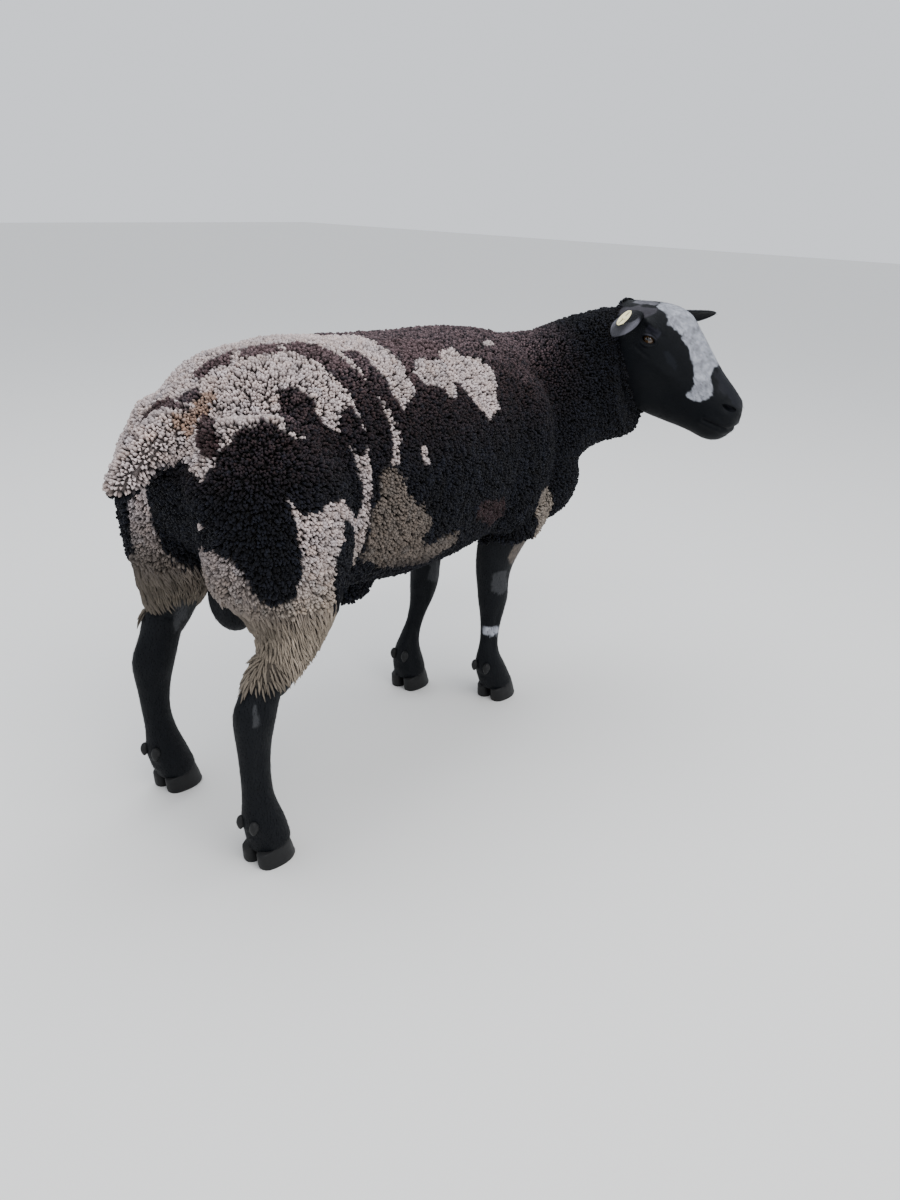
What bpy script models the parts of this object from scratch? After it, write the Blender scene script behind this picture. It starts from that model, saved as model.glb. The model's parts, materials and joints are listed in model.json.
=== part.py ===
# A life-size model of a standing Dutch Spotted ram, looking back to its right.
# Metres. +X towards the chest, +Y to the animal's left, +Z up. The forms below are placed from a
# point on the floor half way between the fore and the hind feet, and moved at the end so that the
# origin lies on the floor under the middle of the whole model.
import math
import random

import bmesh
import bpy
import numpy as np
from mathutils import Matrix, Vector
from mathutils.bvhtree import BVHTree

OBJECT_NAME = "dutch_spotted_ram"
BOX_MIDDLE = Vector((0.1485, -0.117, 0.0))
GAP = 0.0003

# The solid core of the fleece lies this far below the tips of the wool.
CORE_BELOW_TIPS = 0.017
CORE_LEAST_SHARE = 0.6
DOCK_CORE_SHARE = 0.5
FORM_VOXEL = 0.012
CORE_TRIANGLES = 500
FLEECE_TRIANGLES = 7000

# The clumps of the fleece: how many, and how each is shaped. The rings of a clump are a share of the way to
# its neighbours across, and a share of the depth of the wool below the tips.
CLUMPS = 215
CLUMP_SIDES = 6
CLUMP_RINGS = ((0.52, 0.02), (0.86, 0.36))
CLUMP_ROOT = 0.985
CLUMP_SUNK = 0.010
CLUMP_LEAN = 0.14
CLUMP_RISE = 0.0025
# Along the flank the clumps stand closer together, so that they are taller than wide.
FLANK = (-0.22, 0.36)
FLANK_SQUEEZE = 1.45
WOOL_END = 0.312

# Barrel, at the tips of the wool: along, centre height, half height, half width.
BARREL = [
    (-0.418, 0.600, 0.050, 0.050),
    (-0.398, 0.605, 0.096, 0.100),
    (-0.355, 0.612, 0.135, 0.142),
    (-0.290, 0.619, 0.178, 0.178),
    (-0.200, 0.607, 0.204, 0.194),
    (-0.080, 0.588, 0.216, 0.207),
    (0.040, 0.577, 0.220, 0.214),
    (0.160, 0.576, 0.218, 0.208),
    (0.270, 0.579, 0.215, 0.194),
    (0.360, 0.575, 0.208, 0.178),
    (0.430, 0.560, 0.188, 0.160),
    (0.480, 0.537, 0.152, 0.132),
    (0.518, 0.508, 0.096, 0.088),
]

# Neck: crest point, throat point, half width.
NECK = [
    ((0.300, 0.000, 0.778), (0.420, -0.010, 0.430), 0.160),
    ((0.400, -0.010, 0.768), (0.485, -0.070, 0.455), 0.142),
    ((0.485, -0.050, 0.774), (0.525, -0.130, 0.500), 0.120),
    ((0.555, -0.100, 0.803), (0.572, -0.150, 0.535), 0.104),
    ((0.612, -0.148, 0.822), (0.606, -0.190, 0.552), 0.092),
    ((0.634, -0.196, 0.834), (0.620, -0.228, 0.568), 0.086),
    ((0.640, -0.245, 0.838), (0.626, -0.270, 0.584), 0.080),
]

# Right and left thigh, down to the end of the wool: centre, half width, half length.
THIGH_RIGHT = [
    (-0.290, -0.080, 0.690, 0.085, 0.112),
    (-0.303, -0.100, 0.620, 0.110, 0.140),
    (-0.296, -0.114, 0.550, 0.107, 0.134),
    (-0.297, -0.123, 0.480, 0.095, 0.131),
    (-0.291, -0.133, 0.420, 0.076, 0.097),
    (-0.306, -0.142, 0.365, 0.057, 0.062),
    (-0.338, -0.147, 0.325, 0.045, 0.046),
    (-0.358, -0.148, 0.300, 0.038, 0.041),
]
THIGH_LEFT = [
    (-0.275, 0.080, 0.690, 0.080, 0.108),
    (-0.284, 0.096, 0.620, 0.100, 0.130),
    (-0.282, 0.106, 0.550, 0.099, 0.130),
    (-0.285, 0.118, 0.480, 0.090, 0.117),
    (-0.304, 0.130, 0.420, 0.074, 0.078),
    (-0.302, 0.139, 0.370, 0.056, 0.066),
    (-0.309, 0.144, 0.330, 0.045, 0.051),
    (-0.322, 0.146, 0.305, 0.038, 0.045),
]

# The dock: a short, flat, woolly stump held out from the rump.
DOCK = [
    (-0.340, -0.004, 0.700, 0.042, 0.040),
    (-0.400, -0.004, 0.690, 0.041, 0.036),
    (-0.445, -0.004, 0.668, 0.038, 0.030),
    (-0.478, -0.004, 0.642, 0.034, 0.025),
    (-0.502, -0.004, 0.616, 0.025, 0.017),
]

# Swellings that ride on the barrel: centre and half sizes.
SWELLINGS = [
    ((0.310, -0.125, 0.560), (0.120, 0.080, 0.165)),
    ((0.310, 0.120, 0.560), (0.120, 0.080, 0.165)),
    ((0.445, -0.086, 0.490), (0.120, 0.108, 0.108)),
    ((0.430, 0.060, 0.475), (0.100, 0.095, 0.088)),
]

# Bare lower legs: centre, half width across, half length along.
SHANK_RIGHT = [
    (-0.324, -0.145, 0.365, 0.034, 0.042),
    (-0.354, -0.147, 0.325, 0.031, 0.035),
    (-0.376, -0.148, 0.300, 0.029, 0.038),
    (-0.386, -0.148, 0.272, 0.030, 0.040),
    (-0.389, -0.148, 0.245, 0.027, 0.035),
    (-0.390, -0.148, 0.212, 0.023, 0.029),
    (-0.389, -0.148, 0.170, 0.021, 0.027),
    (-0.386, -0.148, 0.130, 0.022, 0.027),
    (-0.382, -0.148, 0.104, 0.027, 0.032),
    (-0.376, -0.148, 0.080, 0.034, 0.038),
    (-0.370, -0.148, 0.058, 0.036, 0.037),
    (-0.364, -0.148, 0.040, 0.037, 0.038),
    (-0.361, -0.148, 0.012, 0.035, 0.036),
]
SHANK_LEFT = [
    (-0.316, 0.143, 0.360, 0.036, 0.042),
    (-0.324, 0.145, 0.320, 0.033, 0.038),
    (-0.335, 0.146, 0.290, 0.031, 0.040),
    (-0.347, 0.146, 0.262, 0.032, 0.043),
    (-0.350, 0.146, 0.234, 0.028, 0.036),
    (-0.351, 0.146, 0.200, 0.023, 0.029),
    (-0.350, 0.146, 0.165, 0.021, 0.027),
    (-0.345, 0.146, 0.140, 0.022, 0.027),
    (-0.340, 0.146, 0.112, 0.026, 0.031),
    (-0.334, 0.146, 0.084, 0.033, 0.038),
    (-0.326, 0.146, 0.060, 0.037, 0.040),
    (-0.317, 0.146, 0.040, 0.037, 0.039),
    (-0.309, 0.146, 0.012, 0.035, 0.036),
]
# The boxes that hold the lower hind legs, right and left, and how far above them the wool ends.
SHANK_BOXES = (
    ((-0.48, -0.24, 0.0), (-0.24, -0.06, 0.318)),
    ((-0.43, 0.06, 0.0), (-0.19, 0.24, 0.322)),
)
WOOL_END = 0.002
FORELEG_RIGHT = [
    (0.378, -0.112, 0.470, 0.060, 0.085),
    (0.372, -0.108, 0.420, 0.056, 0.084),
    (0.356, -0.099, 0.372, 0.046, 0.070),
    (0.340, -0.091, 0.325, 0.037, 0.050),
    (0.337, -0.089, 0.295, 0.033, 0.042),
    (0.340, -0.088, 0.268, 0.031, 0.037),
    (0.343, -0.088, 0.243, 0.031, 0.036),
    (0.343, -0.088, 0.215, 0.027, 0.030),
    (0.340, -0.088, 0.185, 0.021, 0.024),
    (0.337, -0.088, 0.155, 0.0185, 0.0215),
    (0.336, -0.088, 0.130, 0.019, 0.023),
    (0.337, -0.088, 0.108, 0.024, 0.028),
    (0.344, -0.088, 0.088, 0.031, 0.035),
    (0.356, -0.088, 0.064, 0.035, 0.037),
    (0.368, -0.088, 0.042, 0.036, 0.038),
    (0.380, -0.088, 0.012, 0.035, 0.036),
]
FORELEG_LEFT = [
    (0.345, 0.108, 0.470, 0.058, 0.078),
    (0.345, 0.104, 0.420, 0.053, 0.074),
    (0.340, 0.096, 0.365, 0.043, 0.060),
    (0.336, 0.089, 0.310, 0.035, 0.045),
    (0.333, 0.086, 0.275, 0.031, 0.038),
    (0.331, 0.086, 0.250, 0.030, 0.035),
    (0.330, 0.086, 0.226, 0.030, 0.034),
    (0.322, 0.086, 0.195, 0.024, 0.028),
    (0.309, 0.086, 0.170, 0.019, 0.022),
    (0.297, 0.086, 0.145, 0.0175, 0.020),
    (0.284, 0.086, 0.120, 0.020, 0.023),
    (0.276, 0.086, 0.096, 0.026, 0.029),
    (0.279, 0.086, 0.070, 0.033, 0.036),
    (0.286, 0.086, 0.045, 0.036, 0.037),
    (0.292, 0.086, 0.012, 0.035, 0.036),
]
LEG_SIDES = 12

# Feet: the middle of each on the floor.
FEET = {
    "hind_right": (-0.366, -0.148),
    "hind_left": (-0.313, 0.146),
    "fore_right": (0.376, -0.088),
    "fore_left": (0.290, 0.086),
}
# One claw seen from above, heel to toe, with the outer side first.
CLAW_OUTLINE = [
    (-0.034, 0.004),
    (-0.026, 0.014),
    (-0.004, 0.017),
    (0.018, 0.014),
    (0.034, 0.005),
    (0.041, -0.007),
    (0.030, -0.013),
    (0.002, -0.0145),
    (-0.022, -0.013),
    (-0.033, -0.006),
]
CLAW_OFFSET = 0.019
CLAW_SPREAD = math.radians(6)
CORONET_HEIGHT = 0.036
CORONET_SLOPE = math.radians(14)
# Dew claws: how far each hangs behind and beside its place on the fetlock.
DEW_CLAWS = {
    "hind_right": (-0.409, -0.148, 0.082),
    "hind_left": (-0.368, 0.146, 0.088),
    "fore_right": (0.312, -0.088, 0.088),
    "fore_left": (0.250, 0.086, 0.084),
}
DEW_CLAW_SIZES = (0.0085, 0.0075, 0.0125)
DEW_CLAW_OFFSET = 0.015

# Under the belly and between the thighs.
SCROTUM = ((-0.281, 0.006, 0.404), (0.046, 0.044, 0.070))
SHEATH = ((-0.010, 0.000, 0.350), (0.050, 0.022, 0.034))

# The plane between a thigh and the rump starts at the flank fold and leans in towards the crotch.
THIGH_FRONT = -0.172
THIGH_SLOPE = math.radians(20)

# The head has its own directions: along the face from the poll, to the head's left, and up from the face.
POLL = Vector((0.640, -0.210, 0.830))
HEAD_TURN = math.radians(-85)
HEAD_PITCH = math.radians(33)
HEAD_PLANE = -0.022
HEAD_PLANE_LEAN = math.radians(-8)

# Head: distance along, top, bottom, half width of crown, of cheek and of jaw.
HEAD = [
    (-0.060, -0.040, -0.120, 0.030, 0.042, 0.034),
    (-0.030, -0.008, -0.150, 0.040, 0.056, 0.044),
    (0.005, 0.014, -0.168, 0.046, 0.066, 0.050),
    (0.038, 0.038, -0.176, 0.050, 0.074, 0.052),
    (0.072, 0.052, -0.178, 0.052, 0.079, 0.052),
    (0.100, 0.055, -0.176, 0.048, 0.077, 0.050),
    (0.130, 0.043, -0.170, 0.041, 0.067, 0.046),
    (0.160, 0.032, -0.161, 0.035, 0.057, 0.040),
    (0.190, 0.020, -0.150, 0.032, 0.049, 0.035),
    (0.220, 0.008, -0.138, 0.030, 0.045, 0.032),
    (0.250, 0.001, -0.127, 0.029, 0.044, 0.032),
    (0.278, -0.006, -0.122, 0.028, 0.044, 0.033),
    (0.299, -0.020, -0.110, 0.024, 0.039, 0.030),
    (0.313, -0.046, -0.090, 0.014, 0.024, 0.018),
]
# Places on the head: along, to the side, up.
EYE_PLACE = (0.079, 0.0585, -0.022)
EYE_RADIUS = 0.0145
EYE_OPENING = (0.0150, 0.0300, 0.0080)
EYE_SLANT = math.radians(-22)
LID_RING = (0.0175, 0.0105)
LID_THICKNESS = 0.0034
BROW_PLACE = (0.068, 0.0540, 0.004)
BROW_SIZES = (0.026, 0.0200, 0.0120)
NOSTRIL_PLACE = (0.288, 0.0235, -0.030)
NOSTRIL_SIZES = (0.0145, 0.0075, 0.0055)
MOUTH_LINE = [
    (0.262, 0.050, -0.079),
    (0.276, 0.048, -0.074),
    (0.290, 0.042, -0.070),
    (0.303, 0.032, -0.066),
    (0.314, 0.016, -0.063),
    (0.319, 0.000, -0.062),
]
MOUTH_GROOVE = 0.0024

# Right and left ear: root, tip, how far the back faces up and how far towards the neck, and the bow.
EAR_PATHS = {
    -1: ((0.028, -0.046, -0.001), (0.039, -0.157, -0.034), 1.00, -0.30, 0.008),
    1: ((0.030, 0.048, -0.004), (0.104, 0.157, 0.044), 0.70, 0.75, -0.009),
}
# Ear from root to tip: share of the length, half width, half angle of the cup, thickness.
EAR = [
    (0.00, 0.0115, 100, 0.0050),
    (0.22, 0.0155, 86, 0.0046),
    (0.40, 0.0210, 62, 0.0042),
    (0.55, 0.0232, 52, 0.0038),
    (0.70, 0.0218, 44, 0.0034),
    (0.83, 0.0175, 38, 0.0030),
    (0.94, 0.0100, 33, 0.0026),
    (1.00, 0.0026, 29, 0.0020),
]
EAR_SIDES = 7
# The tag is worn over the fifth ring of the right ear, a little clear of it, its near end lifted.
TAG_SIZES = (0.042, 0.0145, 0.0018)
TAG_RING = 4
TAG_HEIGHT = 0.0115
TAG_LIFT = (-0.905, 0.120, 0.410)
TAG_FACING = (0.430, 0.130, 0.890)
TAG_STUD = 0.0024


def clear_scene():
    for thing in list(bpy.data.objects):
        bpy.data.objects.remove(thing)


def mesh_object(name, mesh):
    thing = bpy.data.objects.new(name, mesh)
    bpy.context.scene.collection.objects.link(thing)
    return thing


def from_bmesh(name, shape):
    bmesh.ops.recalc_face_normals(shape, faces=shape.faces)
    mesh = bpy.data.meshes.new(name)
    shape.to_mesh(mesh)
    shape.free()
    return mesh_object(name, mesh)


def skinned(name, rings):
    """A closed body over a row of rings that all have the same number of points."""
    shape = bmesh.new()
    rows = []
    for ring in rings:
        rows.append([shape.verts.new(point) for point in ring])
    count = len(rows[0])
    for first, second in zip(rows, rows[1:]):
        for step in range(count):
            after = (step + 1) % count
            shape.faces.new((first[step], first[after], second[after], second[step]))
    shape.faces.new(list(reversed(rows[0])))
    shape.faces.new(rows[-1])
    return from_bmesh(name, shape)


def oval(centre, side, over, count, power=2.0):
    """A ring of points; a power above 2 makes it squarer."""
    points = []
    for step in range(count):
        turn = 2 * math.pi * (step + 0.5) / count
        across = math.copysign(abs(math.cos(turn)) ** (2 / power), math.cos(turn))
        height = math.copysign(abs(math.sin(turn)) ** (2 / power), math.sin(turn))
        points.append(centre + side * across + over * height)
    return points


def tube(name, rows, sides, up=Vector((0, 0, 1)), power=2.0):
    """A body along a path of centres. Each ring stands square to the path."""
    centres = [Vector(row[:3]) for row in rows]
    rings = []
    for index, row in enumerate(rows):
        before = centres[max(index - 1, 0)]
        after = centres[min(index + 1, len(rows) - 1)]
        along = (after - before).normalized()
        side = up.cross(along).normalized()
        over = along.cross(side)
        rings.append(oval(centres[index], side * row[3], over * row[4], sides, power))
    return skinned(name, rings)


def level_tube(name, rows, sides):
    """A leg. Its rings lie level, with their length along the body."""
    rings = []
    for x, y, z, width, length in rows:
        rings.append(oval(Vector((x, y, z)), Vector((length, 0, 0)), Vector((0, width, 0)), sides))
    return skinned(name, rings)


def neck_form(name, sides, depth):
    rings = []
    for index, (crest, throat, width) in enumerate(NECK):
        crest = Vector(crest)
        throat = Vector(throat)
        before = NECK[max(index - 1, 0)]
        after = NECK[min(index + 1, len(NECK) - 1)]
        along = Vector(after[0]) + Vector(after[1]) - Vector(before[0]) - Vector(before[1])
        over = (crest - throat) / 2
        side = over.cross(along).normalized() * sunk(width, depth)
        over = over.normalized() * sunk(over.length, depth)
        rings.append(oval((crest + throat) / 2, side, over, sides, 2.2))
    return skinned(name, rings)


def ball(name, centre, sizes, segments=24, rings=14, turn=None):
    shape = bmesh.new()
    matrix = Matrix.Translation(centre)
    if turn is not None:
        matrix = matrix @ turn.to_4x4()
    matrix = matrix @ Matrix.Diagonal((*sizes, 1.0))
    bmesh.ops.create_uvsphere(shape, u_segments=segments, v_segments=rings, radius=1.0, matrix=matrix)
    return from_bmesh(name, shape)


def block(name, matrix, low, high):
    """A box from one corner to the other, in the directions of the matrix."""
    low = Vector(low)
    high = Vector(high)
    shape = bmesh.new()
    bmesh.ops.create_cube(shape, size=1.0)
    size = high - low
    middle = (high + low) / 2
    fit = Matrix.Translation(middle) @ Matrix.Diagonal((*size, 1.0))
    bmesh.ops.transform(shape, matrix=matrix @ fit, verts=shape.verts)
    return from_bmesh(name, shape)


def applied(thing):
    """Puts the object's modifiers into its mesh."""
    graph = bpy.context.evaluated_depsgraph_get()
    mesh = bpy.data.meshes.new_from_object(thing.evaluated_get(graph))
    thing.modifiers.clear()
    thing.data = mesh
    return thing


def joined(name, things):
    """One object with the faces of all these, which may still lie in each other."""
    shape = bmesh.new()
    for thing in things:
        shape.from_mesh(thing.data)
        bpy.data.objects.remove(thing)
    mesh = bpy.data.meshes.new(name)
    shape.to_mesh(mesh)
    shape.free()
    return mesh_object(name, mesh)


def melted(thing, voxel, smoothing):
    """Overlapping forms made one smooth skin."""
    remesh = thing.modifiers.new("skin", "REMESH")
    remesh.mode = "VOXEL"
    remesh.voxel_size = voxel
    smooth = thing.modifiers.new("ease", "SMOOTH")
    smooth.factor = 0.5
    smooth.iterations = smoothing
    return applied(thing)


def thinned(thing, triangles):
    """The same form in fewer triangles."""
    have = sum(len(face.vertices) - 2 for face in thing.data.polygons)
    thin = thing.modifiers.new("fewer", "DECIMATE")
    thin.ratio = min(1.0, triangles / have)
    return applied(thing)


def fused(thing, others):
    """One Boolean union of a body with everything in the list."""
    group = bpy.data.collections.new("added")
    bpy.context.scene.collection.children.link(group)
    for other in others:
        bpy.context.scene.collection.objects.unlink(other)
        group.objects.link(other)
    union = thing.modifiers.new("union", "BOOLEAN")
    union.operation = "UNION"
    union.solver = "MANIFOLD"
    union.operand_type = "COLLECTION"
    union.collection = group
    applied(thing)
    for other in others:
        bpy.data.objects.remove(other)
    bpy.data.collections.remove(group)
    return thing


def cut(thing, tool, operation):
    """Cuts a body with a tool, or keeps only what lies in the tool."""
    step = thing.modifiers.new("cut", "BOOLEAN")
    step.operation = operation
    step.solver = "MANIFOLD"
    step.object = tool
    applied(thing)
    bpy.data.objects.remove(tool)
    return thing


def copied(thing, name):
    return mesh_object(name, thing.data.copy())


def largest(thing):
    """Keeps the largest closed surface of a body."""
    shape = bmesh.new()
    shape.from_mesh(thing.data)
    shape.faces.ensure_lookup_table()
    left = set(shape.faces)
    groups = []
    while left:
        start = left.pop()
        group = [start]
        queue = [start]
        while queue:
            face = queue.pop()
            for edge in face.edges:
                for near in edge.link_faces:
                    if near in left:
                        left.remove(near)
                        group.append(near)
                        queue.append(near)
        groups.append(group)
    groups.sort(key=lambda faces: sum(face.calc_area() for face in faces))
    spare = [face for group in groups[:-1] for face in group]
    if spare:
        bmesh.ops.delete(shape, geom=spare, context="FACES")
        shape.to_mesh(thing.data)
    shape.free()
    return thing


def parted(whole, name, matrix, low, high):
    """Cuts the part inside a box off the whole, with a thin gap left between the two."""
    piece = copied(whole, name)
    cut(piece, block("inside", matrix, low, high), "INTERSECT")
    room = Vector((GAP, GAP, GAP))
    cut(whole, block("outside", matrix, Vector(low) - room, Vector(high) + room), "DIFFERENCE")
    return largest(piece)


def head_matrix():
    turn = Matrix.Rotation(HEAD_TURN, 4, "Z") @ Matrix.Rotation(HEAD_PITCH, 4, "Y")
    return Matrix.Translation(POLL) @ turn


def sunk(size, depth):
    """A half size taken in by a depth, though never to a mere sliver."""
    return max(size - depth, size * CORE_LEAST_SHARE)


def drawn_in(rows, depth):
    return [(x, y, z, sunk(width, depth), sunk(length, depth)) for x, y, z, width, length in rows]


def fleece_form(name, depth):
    """The whole woolly body, this deep under the tips of the wool."""
    barrel = [(x * (1 - 2 * depth), 0.0, z, width, height) for x, z, height, width in BARREL]
    forms = [
        tube("barrel", drawn_in(barrel, depth), 32, power=2.2),
        neck_form("neck", 28, depth),
        tube("thigh_right", drawn_in(THIGH_RIGHT, depth), 24, up=Vector((1, 0, 0))),
        tube("thigh_left", drawn_in(THIGH_LEFT, depth), 24, up=Vector((1, 0, 0))),
        tube("dock", drawn_in(DOCK, depth * DOCK_CORE_SHARE), 20),
    ]
    for index, (centre, sizes) in enumerate(SWELLINGS):
        forms.append(ball(f"swelling_{index}", Vector(centre), [sunk(size, depth) for size in sizes]))
    return melted(joined(name, forms), FORM_VOXEL, 5)


def face_frame():
    """The plane behind the ears where the head's short hair meets the wool of the neck."""
    turn = Matrix.Rotation(HEAD_TURN, 4, "Z") @ Matrix.Rotation(HEAD_PLANE_LEAN, 4, "Y")
    return Matrix.Translation(POLL) @ turn


def wool_scale(points):
    """How closely clumps stand at each point: first along the body, then all round."""
    flank = np.clip((points[:, 0] - FLANK[0]) / 0.05, 0.0, 1.0)
    flank *= np.clip((FLANK[1] - points[:, 0]) / 0.05, 0.0, 1.0)
    dock = np.clip((-0.38 - points[:, 0]) / 0.06, 0.0, 1.0)
    dock = dock * (np.abs(points[:, 1]) < 0.07) * (points[:, 2] > 0.58)
    cuff = np.clip((0.48 - points[:, 2]) / 0.14, 0.0, 1.0) * (points[:, 0] < -0.18)
    return 1.0 + (FLANK_SQUEEZE - 1.0) * flank, 1.0 + 0.25 * dock + 0.40 * cuff


def clump_places(tips, count):
    """Spreads the clumps evenly over the woolly body and gives the place and normal of each."""
    points = []
    normals = []
    behind = face_frame().inverted()
    for vertex in tips.data.vertices:
        if vertex.co.z < WOOL_END or (behind @ vertex.co).x > HEAD_PLANE + 0.030:
            continue
        points.append(vertex.co[:])
        normals.append(vertex.normal[:])
    points = np.array(points)
    normals = np.array(normals)
    # Each point counts by its room: where clumps stand closer it counts more.
    squeeze, closer = wool_scale(points)
    weight = squeeze * closer ** 2
    facing = np.column_stack((points, normals * 0.045))
    chosen = [0]
    stretch = np.column_stack((squeeze * closer, closer, closer, closer, closer, closer))
    away = np.linalg.norm((facing - facing[0]) * stretch, axis=1)
    for _ in range(count - 1):
        farthest = int(away.argmax())
        chosen.append(farthest)
        away = np.minimum(away, np.linalg.norm((facing - facing[farthest]) * stretch, axis=1))
    sites = facing[chosen]
    for _ in range(12):
        apart = np.empty((len(facing), count))
        for index in range(count):
            apart[:, index] = (((facing - sites[index]) * stretch) ** 2).sum(1)
        nearest = apart.argmin(axis=1)
        for index in range(count):
            own = nearest == index
            if own.any():
                sites[index] = np.average(facing[own], axis=0, weights=weight[own])
    places = []
    for site in sites:
        closest = np.linalg.norm(points - site[:3], axis=1).argmin()
        places.append((Vector(points[closest]), Vector(normals[closest])))
    return places


def fewer_corners(points, count):
    """Drops the corners of an outline that matter least."""
    points = list(points)
    while len(points) > count:
        least = None
        for index, point in enumerate(points):
            before = points[index - 1] - point
            after = points[(index + 1) % len(points)] - point
            area = abs(before.x * after.y - before.y * after.x)
            if least is None or area < least[0]:
                least = (area, index)
        points.pop(least[1])
    return points


def clump_outline(place, normal, across, lie, others, scale):
    """The outline in which a clump keeps clear of its neighbours, flat on the tips of the wool."""
    squeeze, closer = scale
    near = sorted(others, key=lambda other: (other[0] - place).length)[1:15]
    limit = 0.70 * (near[4][0] - place).length
    around = []
    for step in range(60):
        turn = 2 * math.pi * step / 60
        out = across * math.cos(turn) + lie * math.sin(turn)
        reach = limit
        for other, facing in near:
            if facing.dot(normal) < 0.1:
                continue
            apart = other - place
            apart -= normal * apart.dot(normal)
            stretched = Vector((apart.x * squeeze, apart.y, apart.z))
            ahead = Vector((out.x * squeeze, out.y, out.z)).dot(stretched)
            if ahead > 1e-6:
                reach = min(reach, stretched.length_squared / (2 * ahead))
        around.append(Vector((math.cos(turn), math.sin(turn))) * reach)
    return fewer_corners(around, CLUMP_SIDES)


def wool_depth(core, spot, facing):
    """How deep the core lies under a place on the tips of the wool, and how thick it is there."""
    hit, side, index, depth = core.ray_cast(spot, -facing, 0.05)
    if hit is None:
        return CORE_BELOW_TIPS, 0.030
    out, side, index, thick = core.ray_cast(hit - facing * 0.001, -facing, 0.5)
    return min(depth, 0.026), thick if out is not None else 0.030


def clump(name, place, normal, others, tips, core, chance):
    """A rounded tuft of wool: an apex, two rings and a root sunk into the core."""
    lie = Vector((-0.35, 0.0, -1.0))
    lie = (lie - normal * lie.dot(normal)).normalized()
    across = normal.cross(lie)
    scale = [float(value[0]) for value in wool_scale(np.array([place[:]]))]
    outline = clump_outline(place, normal, across, lie, others, scale)
    mean = sum(corner.length for corner in outline) / len(outline)
    rise = chance.uniform(0.3, 1.5) * CLUMP_RISE
    shape = bmesh.new()
    rings = []
    for share, deep in (*CLUMP_RINGS, (CLUMP_ROOT, None)):
        ring = []
        for corner in outline:
            spread = corner * share
            if deep is not None:
                spread = spread * chance.uniform(0.96, 1.03)
            spot, facing, index, distance = tips.find_nearest(place + across * spread.x + lie * spread.y)
            depth, thick = wool_depth(core, spot, facing)
            if deep is None:
                down = depth + min(CLUMP_SUNK, thick * 0.3)
            else:
                down = depth * deep * chance.uniform(0.75, 1.25) - rise
            ring.append(shape.verts.new(spot - facing * down))
        rings.append(ring)
    root = rings[-1]
    spot, facing, index, distance = tips.find_nearest(place + lie * mean * CLUMP_LEAN)
    apex = shape.verts.new(spot + facing * (rise + 0.001))
    for step in range(len(outline)):
        after = (step + 1) % len(outline)
        shape.faces.new((apex, rings[0][step], rings[0][after]))
        for above, below in zip(rings, rings[1:]):
            shape.faces.new((above[step], below[step], below[after], above[after]))
    shape.faces.new(list(reversed(root)))
    bmesh.ops.triangulate(shape, faces=shape.faces)
    return from_bmesh(name, shape)


def clumped_fleece():
    """The core of the woolly body with its clumps, out to the tips of the wool."""
    tips_form = fleece_form("tips", 0.0)
    fleece = fleece_form("fleece", CORE_BELOW_TIPS)
    thinned(fleece, CORE_TRIANGLES)
    graph = bpy.context.evaluated_depsgraph_get()
    tips = BVHTree.FromObject(tips_form, graph)
    core = BVHTree.FromObject(fleece, graph)
    chance = random.Random(7)
    places = clump_places(tips_form, CLUMPS)
    clumps = []
    for index, (place, normal) in enumerate(places):
        clumps.append(clump(f"clump_{index}", place, normal, places, tips, core, chance))
    bpy.data.objects.remove(tips_form)
    return thinned(largest(fused(fleece, clumps)), FLEECE_TRIANGLES)


def head_form():
    matrix = head_matrix()
    rings = []
    for along, top, bottom, crown, cheek, jaw in HEAD:
        deep = top - bottom
        half = [
            (crown * 0.42, top - deep * 0.01),
            (crown, top - deep * 0.09),
            (crown * 0.3 + cheek * 0.7, top - deep * 0.24),
            (cheek, top - deep * 0.42),
            (cheek * 0.95, top - deep * 0.63),
            (jaw, top - deep * 0.86),
            (jaw * 0.45, bottom + deep * 0.01),
        ]
        ring = [Vector((along, y, z)) for y, z in half]
        ring += [Vector((along, -y, z)) for y, z in reversed(half)]
        rings.append([matrix @ point for point in ring])
    head = skinned("head", rings)
    subdivide = head.modifiers.new("round", "SUBSURF")
    subdivide.levels = 1
    subdivide.render_levels = 1
    return applied(head)


def on_head(place, side):
    """A place on the head, given for its left side; side is 1 for left and -1 for right."""
    return head_matrix() @ Vector((place[0], place[1] * side, place[2]))


def eye_turn(side):
    turn = head_matrix().to_3x3()
    return turn @ Matrix.Rotation(EYE_SLANT, 3, "Y") @ Matrix.Rotation(side * math.radians(12), 3, "X")


def lid_ring(name, side):
    """The raised rim of both lids, a flattened ring around the opening."""
    rings = []
    turn = eye_turn(side)
    centre = on_head((EYE_PLACE[0], EYE_PLACE[1] + EYE_RADIUS - 0.0005, EYE_PLACE[2]), side)
    shape = bmesh.new()
    around = 14
    across = 5
    for step in range(around):
        angle = 2 * math.pi * step / around
        out = Vector((math.cos(angle), 0, math.sin(angle)))
        spine = Vector((LID_RING[0] * out.x, -side * 0.0030 * out.x ** 2, LID_RING[1] * out.z))
        ring = []
        for part in range(across):
            bend = 2 * math.pi * part / across
            offset = out * math.cos(bend) + Vector((0, side, 0)) * math.sin(bend)
            ring.append(shape.verts.new(centre + turn @ (spine + offset * LID_THICKNESS)))
        rings.append(ring)
    for step in range(around):
        first = rings[step]
        second = rings[(step + 1) % around]
        for part in range(across):
            after = (part + 1) % across
            shape.faces.new((first[part], first[after], second[after], second[part]))
    return from_bmesh(name, shape)


def groove(name, points, radius, sides=6):
    rings = []
    for index, point in enumerate(points):
        before = points[max(index - 1, 0)]
        after = points[min(index + 1, len(points) - 1)]
        along = (after - before).normalized()
        side = along.orthogonal().normalized()
        over = along.cross(side)
        rings.append(oval(point, side * radius, over * radius, sides))
    return skinned(name, rings)


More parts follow.
